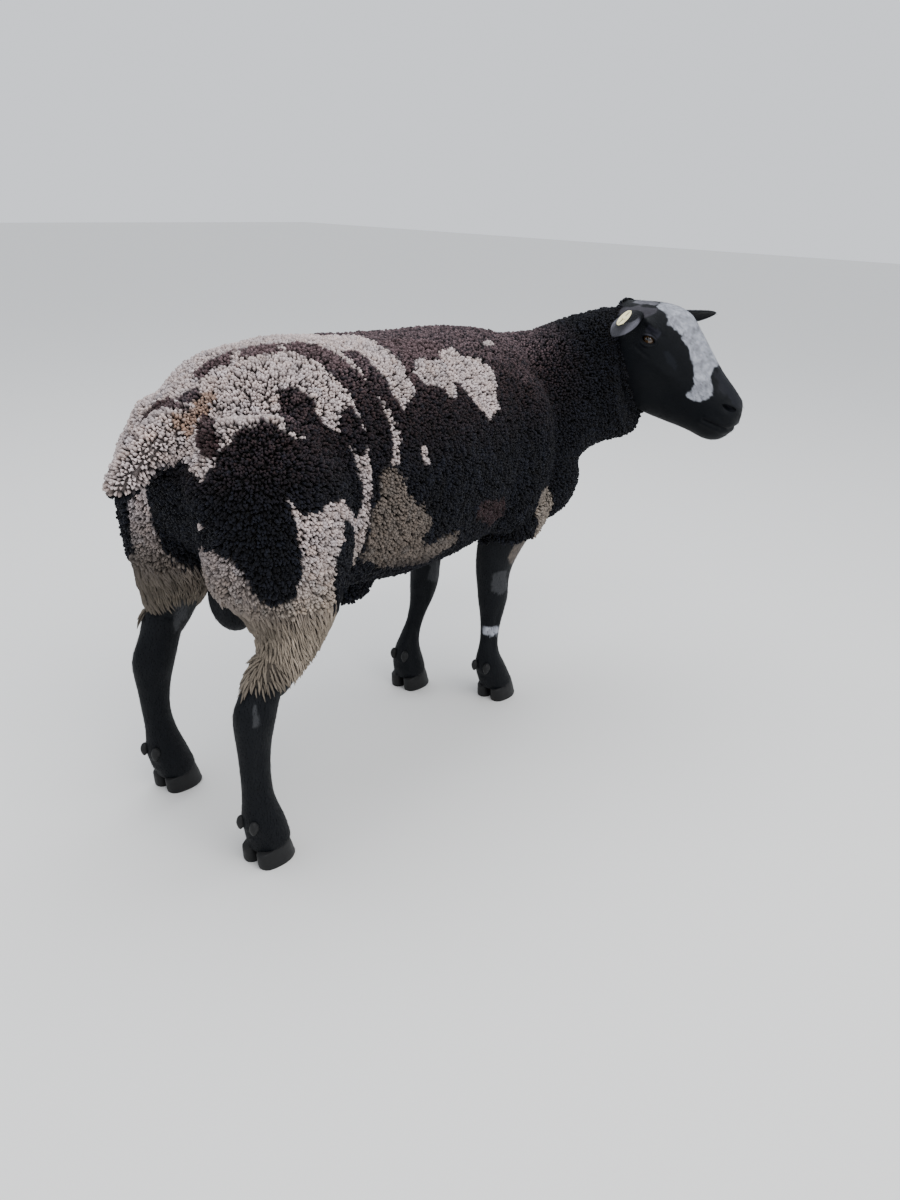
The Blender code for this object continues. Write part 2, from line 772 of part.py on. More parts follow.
def ear_frame(side):
    """Root, tip, direction, width direction, back direction and bow of an ear."""
    start, end, rise, lean, bow = EAR_PATHS[side]
    root = head_matrix() @ Vector(start)
    tip = head_matrix() @ Vector(end)
    along = (tip - root).normalized()
    forward = Matrix.Rotation(HEAD_TURN, 3, "Z") @ Vector((1, 0, 0))
    back = Vector((0, 0, rise)) - forward * lean
    back = (back - along * back.dot(along)).normalized()
    return root, tip, along, back.cross(along), back, bow


def ear_form(name, side):
    root, tip, along, width, back, bow = ear_frame(side)
    rings = []
    for share, half, angle, thick in EAR:
        angle = math.radians(angle)
        radius = half / math.sin(min(angle, math.pi / 2))
        centre = root + (tip - root) * share + back * bow * math.sin(math.pi * share)
        centre -= back * radius * math.cos(angle)
        outer = []
        inner = []
        for step in range(EAR_SIDES):
            bend = angle * (2 * step / (EAR_SIDES - 1) - 1)
            out = width * math.sin(bend) + back * math.cos(bend)
            outer.append(centre + out * radius)
            inner.append(centre + out * max(radius - thick, radius * 0.3))
        rings.append(outer + list(reversed(inner)))
    return skinned(name, rings)


def ear_tag():
    """A plain strip clear of the back of the right ear, its stud through the ear and a button under it."""
    root, tip, along, width, back, bow = ear_frame(-1)
    share, half, angle, thick = EAR[TAG_RING]
    radius = half / math.sin(math.radians(angle))
    top = root + (tip - root) * share + back * bow * math.sin(math.pi * share)
    top += back * (radius - radius * math.cos(math.radians(angle)))
    strip = (along * TAG_LIFT[0] + width * TAG_LIFT[1] + back * TAG_LIFT[2]).normalized()
    facing = along * TAG_FACING[0] + width * TAG_FACING[1] + back * TAG_FACING[2]
    aside = facing.cross(strip).normalized()
    lifted = Matrix((strip, aside, strip.cross(aside))).transposed()
    turn = Matrix((along, back.cross(along), back)).transposed()
    plate_at = top + back * TAG_HEIGHT
    shape = bmesh.new()
    bmesh.ops.create_cone(
        shape,
        cap_ends=True,
        segments=20,
        radius1=0.5,
        radius2=0.5,
        depth=1.0,
        matrix=Matrix.Translation(plate_at) @ lifted.to_4x4() @ Matrix.Diagonal((*TAG_SIZES, 1.0)),
    )
    tag = from_bmesh("ear_tag", shape)
    parts = []
    lengths = (("stud", TAG_STUD, -0.0085, TAG_HEIGHT), ("button", 0.0065, -0.0095, -0.0075))
    for name, wide, low, high in lengths:
        shape = bmesh.new()
        centre = top + back * (low + high) / 2
        bmesh.ops.create_cone(
            shape,
            cap_ends=True,
            segments=14,
            radius1=wide,
            radius2=wide,
            depth=high - low,
            matrix=Matrix.Translation(centre) @ turn.to_4x4(),
        )
        parts.append(from_bmesh(name, shape))
    hole = bmesh.new()
    bmesh.ops.create_cone(
        hole,
        cap_ends=True,
        segments=14,
        radius1=TAG_STUD + GAP,
        radius2=TAG_STUD + GAP,
        depth=0.040,
        matrix=Matrix.Translation(top) @ turn.to_4x4(),
    )
    return fused(tag, parts), from_bmesh("stud_hole", hole)


def claw(name, foot, side):
    """One claw with a flat sole; its top slopes down to the heel. Side is 1 for the left one of the foot."""
    x, y = FEET[foot]
    turn = Matrix.Rotation(side * CLAW_SPREAD, 3, "Z")
    middle = Vector((x, y + side * CLAW_OFFSET, 0.0))
    rings = []
    for level, scale, back in ((0.0, 0.97, 0.0), (0.0035, 1.0, 0.0), (0.5, 0.93, 0.004), (1.0, 0.84, 0.009)):
        ring = []
        for along, out in CLAW_OUTLINE:
            point = turn @ Vector((along * scale - back, side * out * scale, 0.0)) + middle
            top = CORONET_HEIGHT + (point.x - x) * math.tan(CORONET_SLOPE)
            point.z = level if level < 0.1 else top * level
            ring.append(point)
        rings.append(ring)
    return skinned(name, rings)


def coronet_block(foot):
    """Everything under the sloping plane where a leg ends and its claws begin."""
    x, y = FEET[foot]
    matrix = Matrix.Translation(Vector((x, y, CORONET_HEIGHT + GAP)))
    matrix = matrix @ Matrix.Rotation(-CORONET_SLOPE, 4, "Y")
    return block("coronet", matrix, (-0.09, -0.07, -0.08), (0.09, 0.07, 0.0))


def head_with_face():
    """The head with its brows, lids, eye sockets, nostrils and mouth line."""
    head = head_form()
    turn = head_matrix().to_3x3()
    for side in (1, -1):
        cut(head, ball("brow", on_head(BROW_PLACE, side), BROW_SIZES, 10, 7, turn), "UNION")
        cut(head, lid_ring("lids", side), "UNION")
    for side in (1, -1):
        place = on_head(EYE_PLACE, side)
        cut(head, ball("opening", place, EYE_OPENING, 12, 6, eye_turn(side)), "DIFFERENCE")
        room = (EYE_RADIUS + GAP,) * 3
        cut(head, ball("socket", place, room, 12, 8, eye_turn(side)), "DIFFERENCE")
        slit = turn @ Matrix.Rotation(side * math.radians(-38), 3, "Z")
        slit = slit @ Matrix.Rotation(math.radians(28), 3, "Y")
        cut(head, ball("nostril", on_head(NOSTRIL_PLACE, side), NOSTRIL_SIZES, 10, 7, slit), "DIFFERENCE")
    line = [Vector(place) for place in MOUTH_LINE]
    line += [Vector((x, -y, z)) for x, y, z in reversed(MOUTH_LINE[:-1])]
    path = []
    for point in line:
        found, spot, normal, index = head.closest_point_on_mesh(head_matrix() @ point)
        path.append(spot)
    cut(head, groove("mouth", path, MOUTH_GROOVE), "DIFFERENCE")
    return head


def painted(thing, name, colour, roughness):
    """Names a finished body, gives it its own material and puts it in the model's collection."""
    thing.name = name
    thing.data.name = name
    material = bpy.data.materials.new(name)
    material.use_nodes = True
    surface = material.node_tree.nodes["Principled BSDF"]
    surface.inputs["Base Color"].default_value = (*colour, 1.0)
    surface.inputs["Roughness"].default_value = roughness
    thing.data.materials.clear()
    thing.data.materials.append(material)
    thing.data.transform(Matrix.Translation(-BOX_MIDDLE))
    bpy.context.scene.collection.objects.unlink(thing)
    model.objects.link(thing)


def slanted(side):
    """Directions of the plane that parts a thigh from the rump: outwards and down, and along the slope."""
    origin = Vector((THIGH_FRONT, side * 0.018, 0.420))
    return Matrix.Translation(origin) @ Matrix.Rotation(-side * THIGH_SLOPE, 4, "X")


DARK_WOOL = (0.020, 0.016, 0.017)
PALE_WOOL = (0.480, 0.400, 0.320)
DARK_HAIR = (0.012, 0.012, 0.015)
HORN = (0.030, 0.026, 0.024)
EYE_COLOUR = (0.090, 0.045, 0.012)
TAG_COLOUR = (0.800, 0.720, 0.360)

clear_scene()
model = bpy.data.collections.new(OBJECT_NAME)
bpy.context.scene.collection.children.link(model)

face = face_frame()
beyond = (0.45, 0.40, 0.20)
level = Matrix.Identity(4)

fleece = clumped_fleece()
# The wool of the thighs ends level, just above the place where each lower leg begins.
for low, high in SHANK_BOXES:
    cut(fleece, block("under_thigh", level, low, Vector(high) + Vector((0, 0, WOOL_END))), "DIFFERENCE")
cut(fleece, block("beyond_neck", face, (HEAD_PLANE - GAP, -0.30, -0.40), beyond), "DIFFERENCE")

tag, stud_hole = ear_tag()
head = head_with_face()
ears = [ear_form("ear_right", -1), ear_form("ear_left", 1)]
cut(ears[0], stud_hole, "DIFFERENCE")
head = fused(head, ears)
cut(head, block("before_neck", face, (HEAD_PLANE, -0.30, -0.40), beyond), "INTERSECT")
largest(head)
legs = []
for rows, foot in (
    (SHANK_RIGHT, "hind_right"),
    (SHANK_LEFT, "hind_left"),
    (FORELEG_RIGHT, "fore_right"),
    (FORELEG_LEFT, "fore_left"),
):
    leg = level_tube(foot, rows, LEG_SIDES)
    cut(leg, coronet_block(foot), "DIFFERENCE")
    x, y, z = DEW_CLAWS[foot]
    for side, word in ((1, "left"), (-1, "right")):
        place = Vector((x, y + side * DEW_CLAW_OFFSET, z))
        grown = [size + GAP for size in DEW_CLAW_SIZES]
        cut(leg, ball("dew_room", place, grown, 6, 4), "DIFFERENCE")
        painted(ball("dew", place, DEW_CLAW_SIZES, 6, 4), f"dew_claw_{foot}_{word}", HORN, 0.5)
        painted(claw("claw", foot, side), f"claw_{foot}_{word}", HORN, 0.5)
    legs.append(leg)
others = legs
others.append(ball("scrotum", Vector(SCROTUM[0]), SCROTUM[1], 14, 9))
others.append(ball("sheath", Vector(SHEATH[0]), SHEATH[1], 12, 8))
whole = fused(fleece, others)

on_face = head_matrix()
collar = Vector((0.78, -0.42, 0.46)).to_track_quat("X", "Z").to_matrix().to_4x4()
collar = Matrix.Translation(Vector((0.462, -0.050, 0.640))) @ collar

ear_right = parted(head, "ear_right", on_face, (-0.05, -0.26, -0.09), (0.10, -0.083, 0.06))
ear_left = parted(head, "ear_left", on_face, (-0.05, 0.083, -0.05), (0.16, 0.26, 0.13))
tail = parted(whole, "tail", level, (-0.60, -0.07, 0.56), (-0.432, 0.07, 0.80))
scrotum = parted(whole, "scrotum", level, (-0.345, -0.054, 0.30), (-0.20, 0.060, 0.432))
sheath = parted(whole, "sheath", level, (-0.08, -0.04, 0.28), (0.06, 0.04, 0.357))
foreleg_right = parted(whole, "foreleg_right", level, (0.24, -0.19, 0.0), (0.49, -0.018, 0.352))
foreleg_left = parted(whole, "foreleg_left", level, (0.22, 0.018, 0.0), (0.47, 0.19, 0.352))
shank_right = parted(whole, "shank_right", level, *SHANK_BOXES[0])
shank_left = parted(whole, "shank_left", level, *SHANK_BOXES[1])
thigh_right = parted(whole, "thigh_right", slanted(-1), (-0.40, -0.40, -0.30), (0.0, 0.0, 0.60))
thigh_left = parted(whole, "thigh_left", slanted(1), (-0.40, 0.0, -0.30), (0.0, 0.40, 0.60))
neck = parted(whole, "neck", collar, (0.0, -0.30, -0.35), (0.45, 0.30, 0.35))
torso = largest(whole)

painted(torso, "torso", DARK_WOOL, 0.9)
painted(neck, "neck", DARK_WOOL, 0.9)
painted(tail, "tail", PALE_WOOL, 0.9)
painted(thigh_right, "thigh_right", PALE_WOOL, 0.9)
painted(thigh_left, "thigh_left", PALE_WOOL, 0.9)
painted(head, "head", DARK_HAIR, 0.7)
painted(ear_right, "ear_right", DARK_HAIR, 0.7)
painted(ear_left, "ear_left", DARK_HAIR, 0.7)
painted(foreleg_right, "foreleg_right", DARK_HAIR, 0.7)
painted(foreleg_left, "foreleg_left", DARK_HAIR, 0.7)
painted(shank_right, "shank_right", DARK_HAIR, 0.7)
painted(shank_left, "shank_left", DARK_HAIR, 0.7)
painted(scrotum, "scrotum", DARK_HAIR, 0.7)
painted(sheath, "sheath", DARK_HAIR, 0.8)
painted(tag, "ear_tag", TAG_COLOUR, 0.35)
for side, word in ((1, "left"), (-1, "right")):
    eye = ball("eye", on_head(EYE_PLACE, side), (EYE_RADIUS,) * 3, 12, 8, eye_turn(side))
    painted(eye, f"eye_{word}", EYE_COLOUR, 0.08)
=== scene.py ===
import json
import math

import bpy
import numpy as np
from mathutils import Matrix, Vector, kdtree
from mathutils.bvhtree import BVHTree

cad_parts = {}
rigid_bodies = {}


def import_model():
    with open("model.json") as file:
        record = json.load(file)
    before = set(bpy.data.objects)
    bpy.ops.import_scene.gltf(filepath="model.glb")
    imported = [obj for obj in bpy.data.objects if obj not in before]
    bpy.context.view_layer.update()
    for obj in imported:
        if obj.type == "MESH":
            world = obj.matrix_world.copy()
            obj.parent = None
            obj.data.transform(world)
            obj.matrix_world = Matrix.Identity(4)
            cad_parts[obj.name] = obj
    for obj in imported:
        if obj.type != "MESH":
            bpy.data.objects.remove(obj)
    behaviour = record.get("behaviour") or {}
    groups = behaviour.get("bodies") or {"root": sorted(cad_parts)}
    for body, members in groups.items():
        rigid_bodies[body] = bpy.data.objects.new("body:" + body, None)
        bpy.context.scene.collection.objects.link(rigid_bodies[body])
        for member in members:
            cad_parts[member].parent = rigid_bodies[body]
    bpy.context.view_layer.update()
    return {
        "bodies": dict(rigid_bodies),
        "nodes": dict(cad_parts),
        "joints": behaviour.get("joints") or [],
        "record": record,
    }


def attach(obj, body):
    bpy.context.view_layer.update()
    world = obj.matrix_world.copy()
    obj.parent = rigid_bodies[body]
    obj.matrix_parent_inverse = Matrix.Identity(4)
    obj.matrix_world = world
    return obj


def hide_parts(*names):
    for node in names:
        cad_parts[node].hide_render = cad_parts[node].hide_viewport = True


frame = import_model()


# The trunk: hide over muscle, from the dock to the poll, as it lies under the fleece.
# Barrel, neck, thighs, dock and the swellings of shoulder and brisket are each a row of hoops bridged
# into a closed body a staple's depth inside the tips of the wool, and then melted into one.
MIDDLE = Vector((0.1485, -0.117, 0.0))
STAPLE = 0.0135
LEAST_SHARE = 0.60
BARREL = [
    (-0.418, 0.600, 0.050, 0.050),
    (-0.398, 0.605, 0.096, 0.100),
    (-0.355, 0.612, 0.135, 0.142),
    (-0.290, 0.619, 0.178, 0.178),
    (-0.200, 0.607, 0.204, 0.194),
    (-0.080, 0.588, 0.216, 0.207),
    (0.040, 0.577, 0.220, 0.214),
    (0.160, 0.576, 0.218, 0.208),
    (0.270, 0.579, 0.215, 0.194),
    (0.360, 0.575, 0.208, 0.178),
    (0.430, 0.560, 0.188, 0.160),
    (0.480, 0.537, 0.152, 0.132),
    (0.518, 0.508, 0.096, 0.088),
]
NECK = [
    ((0.300, 0.000, 0.778), (0.420, -0.010, 0.430), 0.160),
    ((0.400, -0.010, 0.768), (0.485, -0.070, 0.455), 0.142),
    ((0.485, -0.050, 0.774), (0.525, -0.130, 0.500), 0.120),
    ((0.555, -0.100, 0.803), (0.572, -0.150, 0.535), 0.104),
    ((0.612, -0.148, 0.822), (0.606, -0.190, 0.552), 0.092),
    ((0.634, -0.196, 0.834), (0.620, -0.228, 0.568), 0.086),
    ((0.640, -0.245, 0.838), (0.626, -0.270, 0.584), 0.080),
]
THIGH_RIGHT = [
    (-0.290, -0.080, 0.690, 0.085, 0.112),
    (-0.303, -0.100, 0.620, 0.110, 0.140),
    (-0.296, -0.114, 0.550, 0.107, 0.134),
    (-0.297, -0.123, 0.480, 0.095, 0.131),
    (-0.291, -0.133, 0.420, 0.076, 0.097),
    (-0.306, -0.142, 0.365, 0.057, 0.062),
    (-0.338, -0.147, 0.325, 0.045, 0.046),
    (-0.358, -0.148, 0.300, 0.038, 0.041),
]
THIGH_LEFT = [
    (-0.275, 0.080, 0.690, 0.080, 0.108),
    (-0.284, 0.096, 0.620, 0.100, 0.130),
    (-0.282, 0.106, 0.550, 0.099, 0.130),
    (-0.285, 0.118, 0.480, 0.090, 0.117),
    (-0.304, 0.130, 0.420, 0.074, 0.078),
    (-0.302, 0.139, 0.370, 0.056, 0.066),
    (-0.309, 0.144, 0.330, 0.045, 0.051),
    (-0.322, 0.146, 0.305, 0.038, 0.045),
]
DOCK = [
    (-0.340, -0.004, 0.700, 0.042, 0.040),
    (-0.400, -0.004, 0.690, 0.041, 0.036),
    (-0.445, -0.004, 0.668, 0.038, 0.030),
    (-0.478, -0.004, 0.642, 0.034, 0.025),
    (-0.502, -0.004, 0.616, 0.025, 0.017),
]
SWELLINGS = [
    ((0.310, -0.125, 0.560), (0.120, 0.080, 0.165)),
    ((0.310, 0.120, 0.560), (0.120, 0.080, 0.165)),
    ((0.445, -0.086, 0.490), (0.120, 0.108, 0.108)),
    ((0.430, 0.060, 0.475), (0.100, 0.095, 0.088)),
]
SCROTUM = ((-0.281, 0.006, 0.404), (0.046, 0.044, 0.070))
SHEATH = ((-0.010, 0.000, 0.350), (0.050, 0.022, 0.034))


def oval(centre, side, over, count, power=2.0):
    """A hoop of points; a power above 2 makes it squarer."""
    turn = 2 * math.pi * (np.arange(count) + 0.5) / count
    across = np.copysign(np.abs(np.cos(turn)) ** (2 / power), np.cos(turn))
    height = np.copysign(np.abs(np.sin(turn)) ** (2 / power), np.sin(turn))
    return np.array(centre) + np.outer(across, side) + np.outer(height, over)


def drawn_in(size, depth):
    return max(size - depth, size * LEAST_SHARE)


def along_path(rows, count, depth, up=(0, 0, 1), power=2.0):
    """Hoops square to a path of centres."""
    centres = [Vector(row[:3]) for row in rows]
    hoops = []
    for index, row in enumerate(rows):
        along = centres[min(index + 1, len(rows) - 1)] - centres[max(index - 1, 0)]
        side = Vector(up).cross(along).normalized()
        over = along.normalized().cross(side)
        side = side * drawn_in(row[3], depth)
        hoops.append(oval(centres[index], side, over * drawn_in(row[4], depth), count, power))
    return hoops


def only(piece):
    bpy.ops.object.select_all(action="DESELECT")
    piece.select_set(True)
    bpy.context.view_layer.objects.active = piece
    return piece


def join(name, pieces):
    only(pieces[0])
    for piece in pieces[1:]:
        piece.select_set(True)
    if len(pieces) > 1:
        bpy.ops.object.join()
    pieces[0].name = name
    return pieces[0]


def hooped(name, hoops):
    """A closed body over a row of hoops: circles set to their outlines, bridged and closed at both ends."""
    rings = []
    for hoop in hoops:
        bpy.ops.object.select_all(action="DESELECT")
        bpy.ops.mesh.primitive_circle_add(vertices=len(hoop))
        ring = bpy.context.object
        ring.data.vertices.foreach_set("co", np.asarray(hoop).ravel())
        rings.append(ring)
    body = join(name, rings)
    bpy.ops.object.mode_set(mode="EDIT")
    bpy.ops.mesh.select_all(action="SELECT")
    bpy.ops.mesh.bridge_edge_loops()
    bpy.ops.mesh.select_all(action="SELECT")
    bpy.ops.mesh.fill_holes(sides=0)
    bpy.ops.mesh.normals_make_consistent(inside=False)
    bpy.ops.object.mode_set(mode="OBJECT")
    return body


def ball(name, centre, sizes, segments=32, rings=18, turn=None):
    bpy.ops.object.select_all(action="DESELECT")
    bpy.ops.mesh.primitive_uv_sphere_add(segments=segments, ring_count=rings, radius=1.0)
    body = bpy.context.object
    body.name = name
    matrix = Matrix.Translation(centre)
    if turn is not None:
        matrix = matrix @ turn.to_4x4()
    body.data.transform(matrix @ Matrix.Diagonal((*sizes, 1.0)))
    return body


def shaped(piece, kind, **settings):
    """Adds one modifier and applies it."""
    only(piece)
    step = piece.modifiers.new(kind.lower(), kind)
    for key, value in settings.items():
        setattr(step, key, value)
    bpy.ops.object.modifier_apply(modifier=step.name)
    return piece


def melted(piece, voxel, easing):
    shaped(piece, "REMESH", mode="VOXEL", voxel_size=voxel)
    return shaped(piece, "SMOOTH", factor=0.5, iterations=easing)


def cut(piece, tool, operation):
    shaped(piece, "BOOLEAN", operation=operation, solver="MANIFOLD", object=tool)
    bpy.data.objects.remove(tool)
    return piece


def sliced(piece, place, facing):
    """Takes off all that lies beyond a plane and closes the cut."""
    only(piece)
    bpy.ops.object.mode_set(mode="EDIT")
    bpy.ops.mesh.select_all(action="SELECT")
    bpy.ops.mesh.bisect(plane_co=place, plane_no=facing, use_fill=True, clear_outer=True)
    bpy.ops.object.mode_set(mode="OBJECT")
    return piece


forms = []
barrel = [(x * (1 - 2 * STAPLE), 0.0, z, width, height) for x, z, height, width in BARREL]
forms.append(hooped("barrel", along_path(barrel, 32, STAPLE, power=2.2)))
hoops = []
for index, (crest, throat, width) in enumerate(NECK):
    before = NECK[max(index - 1, 0)]
    after = NECK[min(index + 1, len(NECK) - 1)]
    along = Vector(after[0]) + Vector(after[1]) - Vector(before[0]) - Vector(before[1])
    over = (Vector(crest) - Vector(throat)) / 2
    depth = STAPLE if index < 5 else 0.0055
    side = over.cross(along).normalized() * drawn_in(width, depth)
    over = over.normalized() * drawn_in(over.length, depth)
    hoops.append(oval((Vector(crest) + Vector(throat)) / 2, side, over, 28, 2.2))
forms.append(hooped("neck_form", hoops))
forms.append(hooped("thigh_form_right", along_path(THIGH_RIGHT, 24, STAPLE, up=(1, 0, 0))))
forms.append(hooped("thigh_form_left", along_path(THIGH_LEFT, 24, STAPLE, up=(1, 0, 0))))
forms.append(hooped("dock_form", along_path(DOCK, 20, 0.010)))
for centre, sizes in SWELLINGS:
    forms.append(ball("swelling", centre, [drawn_in(size, STAPLE) for size in sizes]))
forms.append(ball("scrotum_form", SCROTUM[0], SCROTUM[1]))
forms.append(ball("sheath_form", SHEATH[0], SHEATH[1]))
trunk = melted(join("trunk", forms), 0.010, 4)

# Behind the ears the neck stops at the plane where the short hair of the head begins.
POLL = Vector((0.640, -0.210, 0.830))
HEAD_TURN = math.radians(-85)
HEAD_PITCH = math.radians(33)
HEAD_PLANE = -0.022
FACE_TILT = Matrix.Rotation(HEAD_TURN, 3, "Z") @ Matrix.Rotation(math.radians(-8), 3, "Y")
FACE_WAY = FACE_TILT @ Vector((1, 0, 0))
sliced(trunk, POLL + FACE_WAY * HEAD_PLANE, FACE_WAY)


# The four lower legs: bone, tendon and thin hide, with hock or knee, cannon, fetlock and pastern.
# Each is a row of level hoops, eased, sliced along the sloping line where its claws begin, and later
# joined to the trunk inside the wool of the thigh or the brisket.
LEGS = {
    "hind_right": [
        (-0.324, -0.145, 0.365, 0.034, 0.042),
        (-0.354, -0.147, 0.325, 0.031, 0.035),
        (-0.376, -0.148, 0.300, 0.029, 0.038),
        (-0.386, -0.148, 0.272, 0.030, 0.040),
        (-0.389, -0.148, 0.245, 0.027, 0.035),
        (-0.390, -0.148, 0.212, 0.023, 0.029),
        (-0.389, -0.148, 0.170, 0.021, 0.027),
        (-0.386, -0.148, 0.130, 0.022, 0.027),
        (-0.382, -0.148, 0.104, 0.027, 0.032),
        (-0.376, -0.148, 0.080, 0.034, 0.038),
        (-0.370, -0.148, 0.058, 0.036, 0.037),
        (-0.364, -0.148, 0.040, 0.037, 0.038),
        (-0.361, -0.148, 0.012, 0.035, 0.036),
    ],
    "hind_left": [
        (-0.316, 0.143, 0.360, 0.036, 0.042),
        (-0.324, 0.145, 0.320, 0.033, 0.038),
        (-0.335, 0.146, 0.290, 0.031, 0.040),
        (-0.347, 0.146, 0.262, 0.032, 0.043),
        (-0.350, 0.146, 0.234, 0.028, 0.036),
        (-0.351, 0.146, 0.200, 0.023, 0.029),
        (-0.350, 0.146, 0.165, 0.021, 0.027),
        (-0.345, 0.146, 0.140, 0.022, 0.027),
        (-0.340, 0.146, 0.112, 0.026, 0.031),
        (-0.334, 0.146, 0.084, 0.033, 0.038),
        (-0.326, 0.146, 0.060, 0.037, 0.040),
        (-0.317, 0.146, 0.040, 0.037, 0.039),
        (-0.309, 0.146, 0.012, 0.035, 0.036),
    ],
    "fore_right": [
        (0.378, -0.112, 0.470, 0.060, 0.085),
        (0.372, -0.108, 0.420, 0.056, 0.084),
        (0.356, -0.099, 0.372, 0.046, 0.070),
        (0.340, -0.091, 0.325, 0.037, 0.050),
        (0.337, -0.089, 0.295, 0.033, 0.042),
        (0.340, -0.088, 0.268, 0.031, 0.037),
        (0.343, -0.088, 0.243, 0.031, 0.036),
        (0.343, -0.088, 0.215, 0.027, 0.030),
        (0.340, -0.088, 0.185, 0.021, 0.024),
        (0.337, -0.088, 0.155, 0.0185, 0.0215),
        (0.336, -0.088, 0.130, 0.019, 0.023),
        (0.337, -0.088, 0.108, 0.024, 0.028),
        (0.344, -0.088, 0.088, 0.031, 0.035),
        (0.356, -0.088, 0.064, 0.035, 0.037),
        (0.368, -0.088, 0.042, 0.036, 0.038),
        (0.380, -0.088, 0.012, 0.035, 0.036),
    ],
    "fore_left": [
        (0.345, 0.108, 0.470, 0.058, 0.078),
        (0.345, 0.104, 0.420, 0.053, 0.074),
        (0.340, 0.096, 0.365, 0.043, 0.060),
        (0.336, 0.089, 0.310, 0.035, 0.045),
        (0.333, 0.086, 0.275, 0.031, 0.038),
        (0.331, 0.086, 0.250, 0.030, 0.035),
        (0.330, 0.086, 0.226, 0.030, 0.034),
        (0.322, 0.086, 0.195, 0.024, 0.028),
        (0.309, 0.086, 0.170, 0.019, 0.022),
        (0.297, 0.086, 0.145, 0.0175, 0.020),
        (0.284, 0.086, 0.120, 0.020, 0.023),
        (0.276, 0.086, 0.096, 0.026, 0.029),
        (0.279, 0.086, 0.070, 0.033, 0.036),
        (0.286, 0.086, 0.045, 0.036, 0.037),
        (0.292, 0.086, 0.012, 0.035, 0.036),
    ],
}
FEET = {
    "hind_right": (-0.366, -0.148),
    "hind_left": (-0.313, 0.146),
    "fore_right": (0.376, -0.088),
    "fore_left": (0.290, 0.086),
}
CORONET_HEIGHT = 0.036
CORONET_SLOPE = math.radians(14)


def dented(piece, place, sizes, amount, turn=None):
    """Raises or sinks the surface round a place, fading out over the sizes."""
    mesh = piece.data
    count = len(mesh.vertices)
    spots = np.empty(count * 3)
    mesh.vertices.foreach_get("co", spots)
    spots = spots.reshape(-1, 3)
    normals = np.empty(count * 3, dtype=np.float32)
    mesh.vertex_normals.foreach_get("vector", normals)
    away = spots - np.array(place)
    if turn is not None:
        away = away @ np.array(turn)
    fade = np.exp(-((away / np.array(sizes)) ** 2).sum(1))
    spots += normals.reshape(-1, 3) * (fade * amount)[:, None]
    mesh.vertices.foreach_set("co", spots.ravel())
    mesh.update()


legs = []
for foot, rows in LEGS.items():
    hoops = []
    for x, y, z, width, length in rows:
        hoops.append(oval((x, y, z), (length, 0, 0), (0, width, 0), 16))
    leg = hooped(foot, hoops)
    shaped(leg, "SUBSURF", levels=1, render_levels=1)
    melted(leg, 0.0045, 2)
    x, y = FEET[foot]
    slope = Matrix.Rotation(-CORONET_SLOPE, 3, "Y") @ Vector((0, 0, -1))
    sliced(leg, (x, y, CORONET_HEIGHT + 0.0005), slope)
    side = math.copysign(1, y)
    if foot.startswith("hind"):
        knob = min(rows, key=lambda row: abs(row[2] - 0.268))
        dented(leg, (knob[0] - 0.040, y, 0.290), (0.016, 0.016, 0.022), 0.006)
        dented(leg, (knob[0], y + side * 0.030, 0.262), (0.020, 0.012, 0.022), 0.003)
        dented(leg, (knob[0], y - side * 0.030, 0.262), (0.020, 0.012, 0.022), 0.003)
    else:
        knob = min(rows, key=lambda row: abs(row[2] - 0.236))
        dented(leg, (knob[0] + 0.034, y, 0.240), (0.014, 0.024, 0.022), 0.004)
        dented(leg, (knob[0] - 0.034, y, 0.228), (0.014, 0.014, 0.014), 0.003)
    for height in (0.20, 0.17, 0.14):
        row = min(rows, key=lambda entry: abs(entry[2] - height))
        for way in (1, -1):
            groove = (row[0] - row[4] * 0.35, y + way * row[3], height)
            dented(leg, groove, (0.006, 0.012, 0.022), -0.0025)
    row = min(rows, key=lambda entry: abs(entry[2] - 0.06))
    dented(leg, (row[0] + row[4], y, 0.050), (0.020, 0.005, 0.022), -0.0035)
    dented(leg, (row[0] - row[4] - 0.004, y, 0.062), (0.014, 0.020, 0.006), -0.004)
    legs.append(leg)


# The head: skull, jaw and short-haired skin, with brows, lids, crests, nostrils, lips and chin.
# It is a row of hoops eased into one form, with the openings cut in it and the folds raised and sunk
# in its surface, in the head's own directions: along the face, to its left, and up from it.
HEAD_FRAME = Matrix.Translation(POLL) @ Matrix.Rotation(HEAD_TURN, 4, "Z")
HEAD_FRAME = HEAD_FRAME @ Matrix.Rotation(HEAD_PITCH, 4, "Y")
HEAD_AXES = HEAD_FRAME.to_3x3()
HEAD = [
    (-0.060, -0.040, -0.120, 0.030, 0.042, 0.034),
    (-0.030, -0.008, -0.150, 0.040, 0.056, 0.044),
    (0.005, 0.014, -0.168, 0.046, 0.066, 0.050),
    (0.038, 0.038, -0.176, 0.050, 0.074, 0.052),
    (0.072, 0.052, -0.178, 0.052, 0.079, 0.052),
    (0.100, 0.055, -0.176, 0.048, 0.077, 0.050),
    (0.130, 0.043, -0.170, 0.041, 0.067, 0.046),
    (0.160, 0.032, -0.161, 0.035, 0.057, 0.040),
    (0.190, 0.020, -0.150, 0.032, 0.049, 0.035),
    (0.220, 0.008, -0.138, 0.030, 0.045, 0.032),
    (0.250, 0.001, -0.127, 0.029, 0.044, 0.032),
    (0.278, -0.006, -0.122, 0.028, 0.044, 0.033),
    (0.299, -0.020, -0.110, 0.024, 0.039, 0.030),
    (0.313, -0.046, -0.090, 0.014, 0.024, 0.018),
]
EYE_PLACE = (0.079, 0.0585, -0.022)
EYE_RADIUS = 0.0145
EYE_OPENING = (0.0150, 0.0300, 0.0080)
